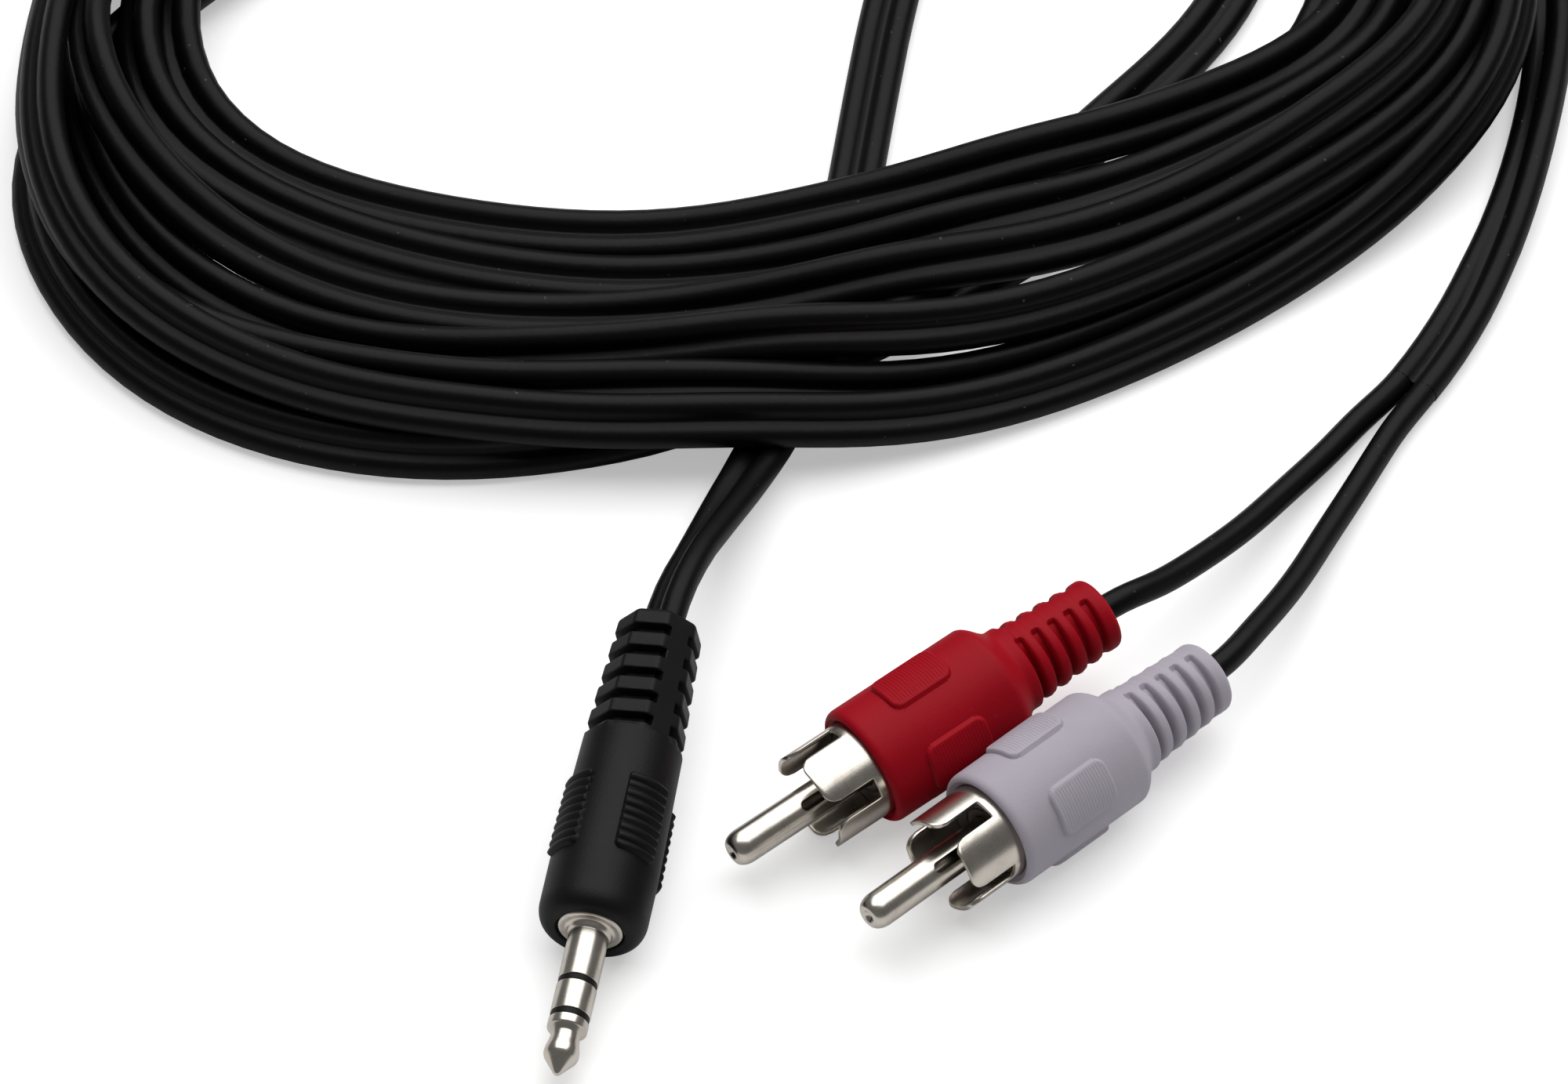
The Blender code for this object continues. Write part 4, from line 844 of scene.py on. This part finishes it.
def makeJackMetal():
    for node, p in jackMetal.items():
        shape = turned(softened(p["profile"], p["worn"]), 96)
        placePiece(p["piece"], shape, "jack", "nickel", node)
    p = jackTip
    (r, low), (_, high) = p["worn"]
    profile = [(0, p["nose"]), (p["point"][0] * 0.55, p["nose"] - 0.04), p["point"]]
    cone = (p["bulge"][0] - 0.12, p["bulge"][1] + 0.42)
    profile += [cone, (p["bulge"][0] - 0.03, p["bulge"][1] + 0.2), p["bulge"]]
    profile += eased(p["bulge"], p["neck"], 10)
    profile += [(p["neck"][0], p["neck"][1] - 0.2), (r - 0.16, high + 0.12), (r, high)]
    profile += [(r, low), (p["rod"], low), (p["rod"], -p["rodTail"]), (0, -p["rodTail"])]
    shape = turned(softened(profile, 0.07, closed=False), 96, closed=False)
    placePiece("jack_tip_metal", shape, "jack", "nickel", "jack_tip")
    for node, band in jackBands.items():
        placePiece(node + "_band", turned(softened(band, 0.03), 96), "jack", "black", node)


jackBoot = dict(
    radius=4.75, rear=4.35, edge=1.15, edgeLength=1.8, taperStart=6.0, length=19.6, end=31.4, steps=256,
    plateBore=3.0, plateBack=1.1, mouldBore=3.15, mouldBack=18.3,
    padStart=6.0, padLength=7.9, padWidth=4.0, padCorner=0.55, padProud=0.42, padRim=0.22,
    ribs=9, ribDepth=0.26, rowSpacing=0.09,
    slotPitch=2.38, slots=5, slotDepth=1.0, spineHalf=0.9, front=8.1, back=6.9, corner=0.55, endEdge=0.7,
    groove=((0.68, 0), (0.56, 0.01), (0.5, 0.06), (0.475, 0.14), (0.465, 0.8), (0.43, 9), (0.38, 9.2)),
    passageHalf=1.225, passageRound=1.525,
)


def octagonRadius(angle, flat, corner):
    # distance from the axis to an eight-sided wall with rounded corners
    half = math.pi / 8
    away = abs((angle + half) % (2 * half) - half)
    turnsAt = flat * math.tan(half) - corner * math.tan(half)
    if flat * math.tan(away) <= turnsAt:
        return flat / math.cos(away)
    centre = Vector((flat - corner, turnsAt))
    along = centre.dot(Vector((math.cos(away), math.sin(away))))
    return along + math.sqrt(corner ** 2 - centre.length_squared + along ** 2)


def passageRadius(angle, p):
    across, up = abs(math.cos(angle)), abs(math.sin(angle))
    if up > 1e-6 and p["passageRound"] / up * across <= p["passageHalf"]:
        return p["passageRound"] / up
    return p["passageHalf"] * across + math.sqrt(p["passageRound"] ** 2 - (p["passageHalf"] * up) ** 2)


def jackBodyRadius(z, p):
    share = min(max((-z - p["taperStart"]) / (p["length"] - p["taperStart"]), 0), 1)
    return p["radius"] + (p["rear"] - p["radius"]) * share


def makeJackBoot():
    p = jackBoot
    outer = [(p["plateBore"], -0.12), (p["plateBore"] + 0.1, 0)]
    outer += quarter((p["radius"] - p["edge"], 0), (p["radius"], -p["edgeLength"]), 12)
    padFront, padBack = -p["padStart"] + 0.1, -p["padStart"] - p["padLength"] - 0.1
    shoulder = -p["length"] + 0.68
    heights = rowsDown(-p["edgeLength"], padFront, 0.5)[1:] + rowsDown(padFront, padBack, p["rowSpacing"])[1:]
    heights += rowsDown(padBack, shoulder + 0.25, 0.5)[1:]
    outer += [(jackBodyRadius(z, p), z) for z in heights]
    cuts, insets = {}, {}
    placeholder = 3.8    # the octagon's rings get their real radius below
    for slotNumber in range(p["slots"]):
        middle = -p["length"] - p["slotPitch"] * slotNumber
        offsets = list(p["groove"]) + [(0, 9.4)] + [(-o, d) for o, d in reversed(p["groove"])]
        for offset, depth in offsets:
            outer.append((placeholder, middle + offset))
            cuts[round(middle + offset, 3)] = depth
    for k in range(9):
        turnBack = math.pi / 2 * k / 8
        z = -p["end"] + p["endEdge"] * (1 - math.sin(turnBack))
        insets[round(z, 3)] = p["endEdge"] * (1 - math.cos(turnBack))
        outer.append((placeholder - 0.01 * k, z))
    inner = [(1.9, -p["end"]), (1.9, -p["mouldBack"]), (p["mouldBore"], -p["mouldBack"]),
             (p["mouldBore"], -p["plateBack"]), (p["plateBore"], -p["plateBack"])]
    shape = turned(outer + inner, p["steps"])
    padMiddle = -p["padStart"] - p["padLength"] / 2
    ribLength = p["padLength"] / p["ribs"]
    for vert in shape.verts:
        x, y, z = vert.co
        radius, angle = math.hypot(x, y), math.atan2(y, x)
        raised = radius
        if radius < 2.5:
            raised = passageRadius(angle, p)
        elif padBack < z < padFront and radius > p["rear"] - 0.1:
            across = radius * (angle - round(angle / (math.pi / 2)) * math.pi / 2)
            inside = roundedField(across, z - padMiddle, p["padWidth"], p["padLength"], p["padCorner"])
            rim = min(max(inside / p["padRim"], 0), 1)
            wave = ((-z - p["padStart"]) / ribLength) % 1
            rib = abs(math.sin(math.pi * wave)) ** 0.7
            raised += (p["padProud"] - p["ribDepth"] * (1 - rib)) * math.sqrt(1 - (1 - rim) ** 2)
        elif z < shoulder + 0.01 and radius > 3.5:
            flat = (p["front"] + (p["back"] - p["front"]) * (-z - p["length"]) / (p["end"] - p["length"])) / 2
            flat -= insets.get(round(z, 3), 0)
            raised = octagonRadius(angle, flat, p["corner"])
            aside = raised * abs(math.sin(angle))
            depth = min(cuts.get(round(z, 3), 0), p["slotDepth"])
            raised -= depth * step(aside, p["spineHalf"], p["spineHalf"] + 0.14)
        if raised != radius:
            vert.co.x, vert.co.y = x * raised / radius, y * raised / radius
    return placePiece("jack_moulded_boot", shape, "jack", "black", "jack_boot")


makeJackMetal()
makeJackBoot()
print("mini jack made")


# stage: pale table, soft light from above and behind
stage = dict(
    size=3.0, floor=(0.86, 0.86, 0.86), roughness=0.8, lift=0.42, world=0.15,
    lampPower=20.0, lampSize=1.7, lampPlace=(0.1, 0.5, 1.1),
)


def makeStage():
    shape = bmesh.new()
    bmesh.ops.create_grid(shape, x_segments=1, y_segments=1, size=stage["size"])
    mesh = meshFrom(shape, "table")
    table = added("table", mesh)
    material = bpy.data.materials.new("table")
    material.use_nodes = True
    nodes, links = material.node_tree.nodes, material.node_tree.links
    shader = nodes["Principled BSDF"]
    shader.inputs["Base Color"].default_value = (*stage["floor"], 1)
    shader.inputs["Roughness"].default_value = stage["roughness"]
    seen = nodes.new("ShaderNodeLightPath")
    glow = nodes.new("ShaderNodeMath")
    glow.operation = "MULTIPLY"
    glow.inputs[1].default_value = stage["lift"]
    links.new(seen.outputs["Is Camera Ray"], glow.inputs[0])
    shader.inputs["Emission Color"].default_value = (1, 1, 1, 1)
    links.new(glow.outputs[0], shader.inputs["Emission Strength"])
    mesh.materials.append(material)
    world = bpy.data.worlds.new("studio")
    bpy.context.scene.world = world
    world.use_nodes = True
    world.node_tree.nodes["Background"].inputs["Color"].default_value = (1, 1, 1, 1)
    world.node_tree.nodes["Background"].inputs["Strength"].default_value = stage["world"]
    lampData = bpy.data.lights.new("softbox", "AREA")
    lampData.energy = stage["lampPower"]
    lampData.size = stage["lampSize"]
    lamp = added("softbox", lampData)
    lamp.location = stage["lampPlace"]
    lamp.rotation_euler = Vector(stage["lampPlace"]).to_track_quat("Z", "Y").to_euler()


makeStage()
bpy.context.scene.view_settings.view_transform = "Standard"
print("stage set")
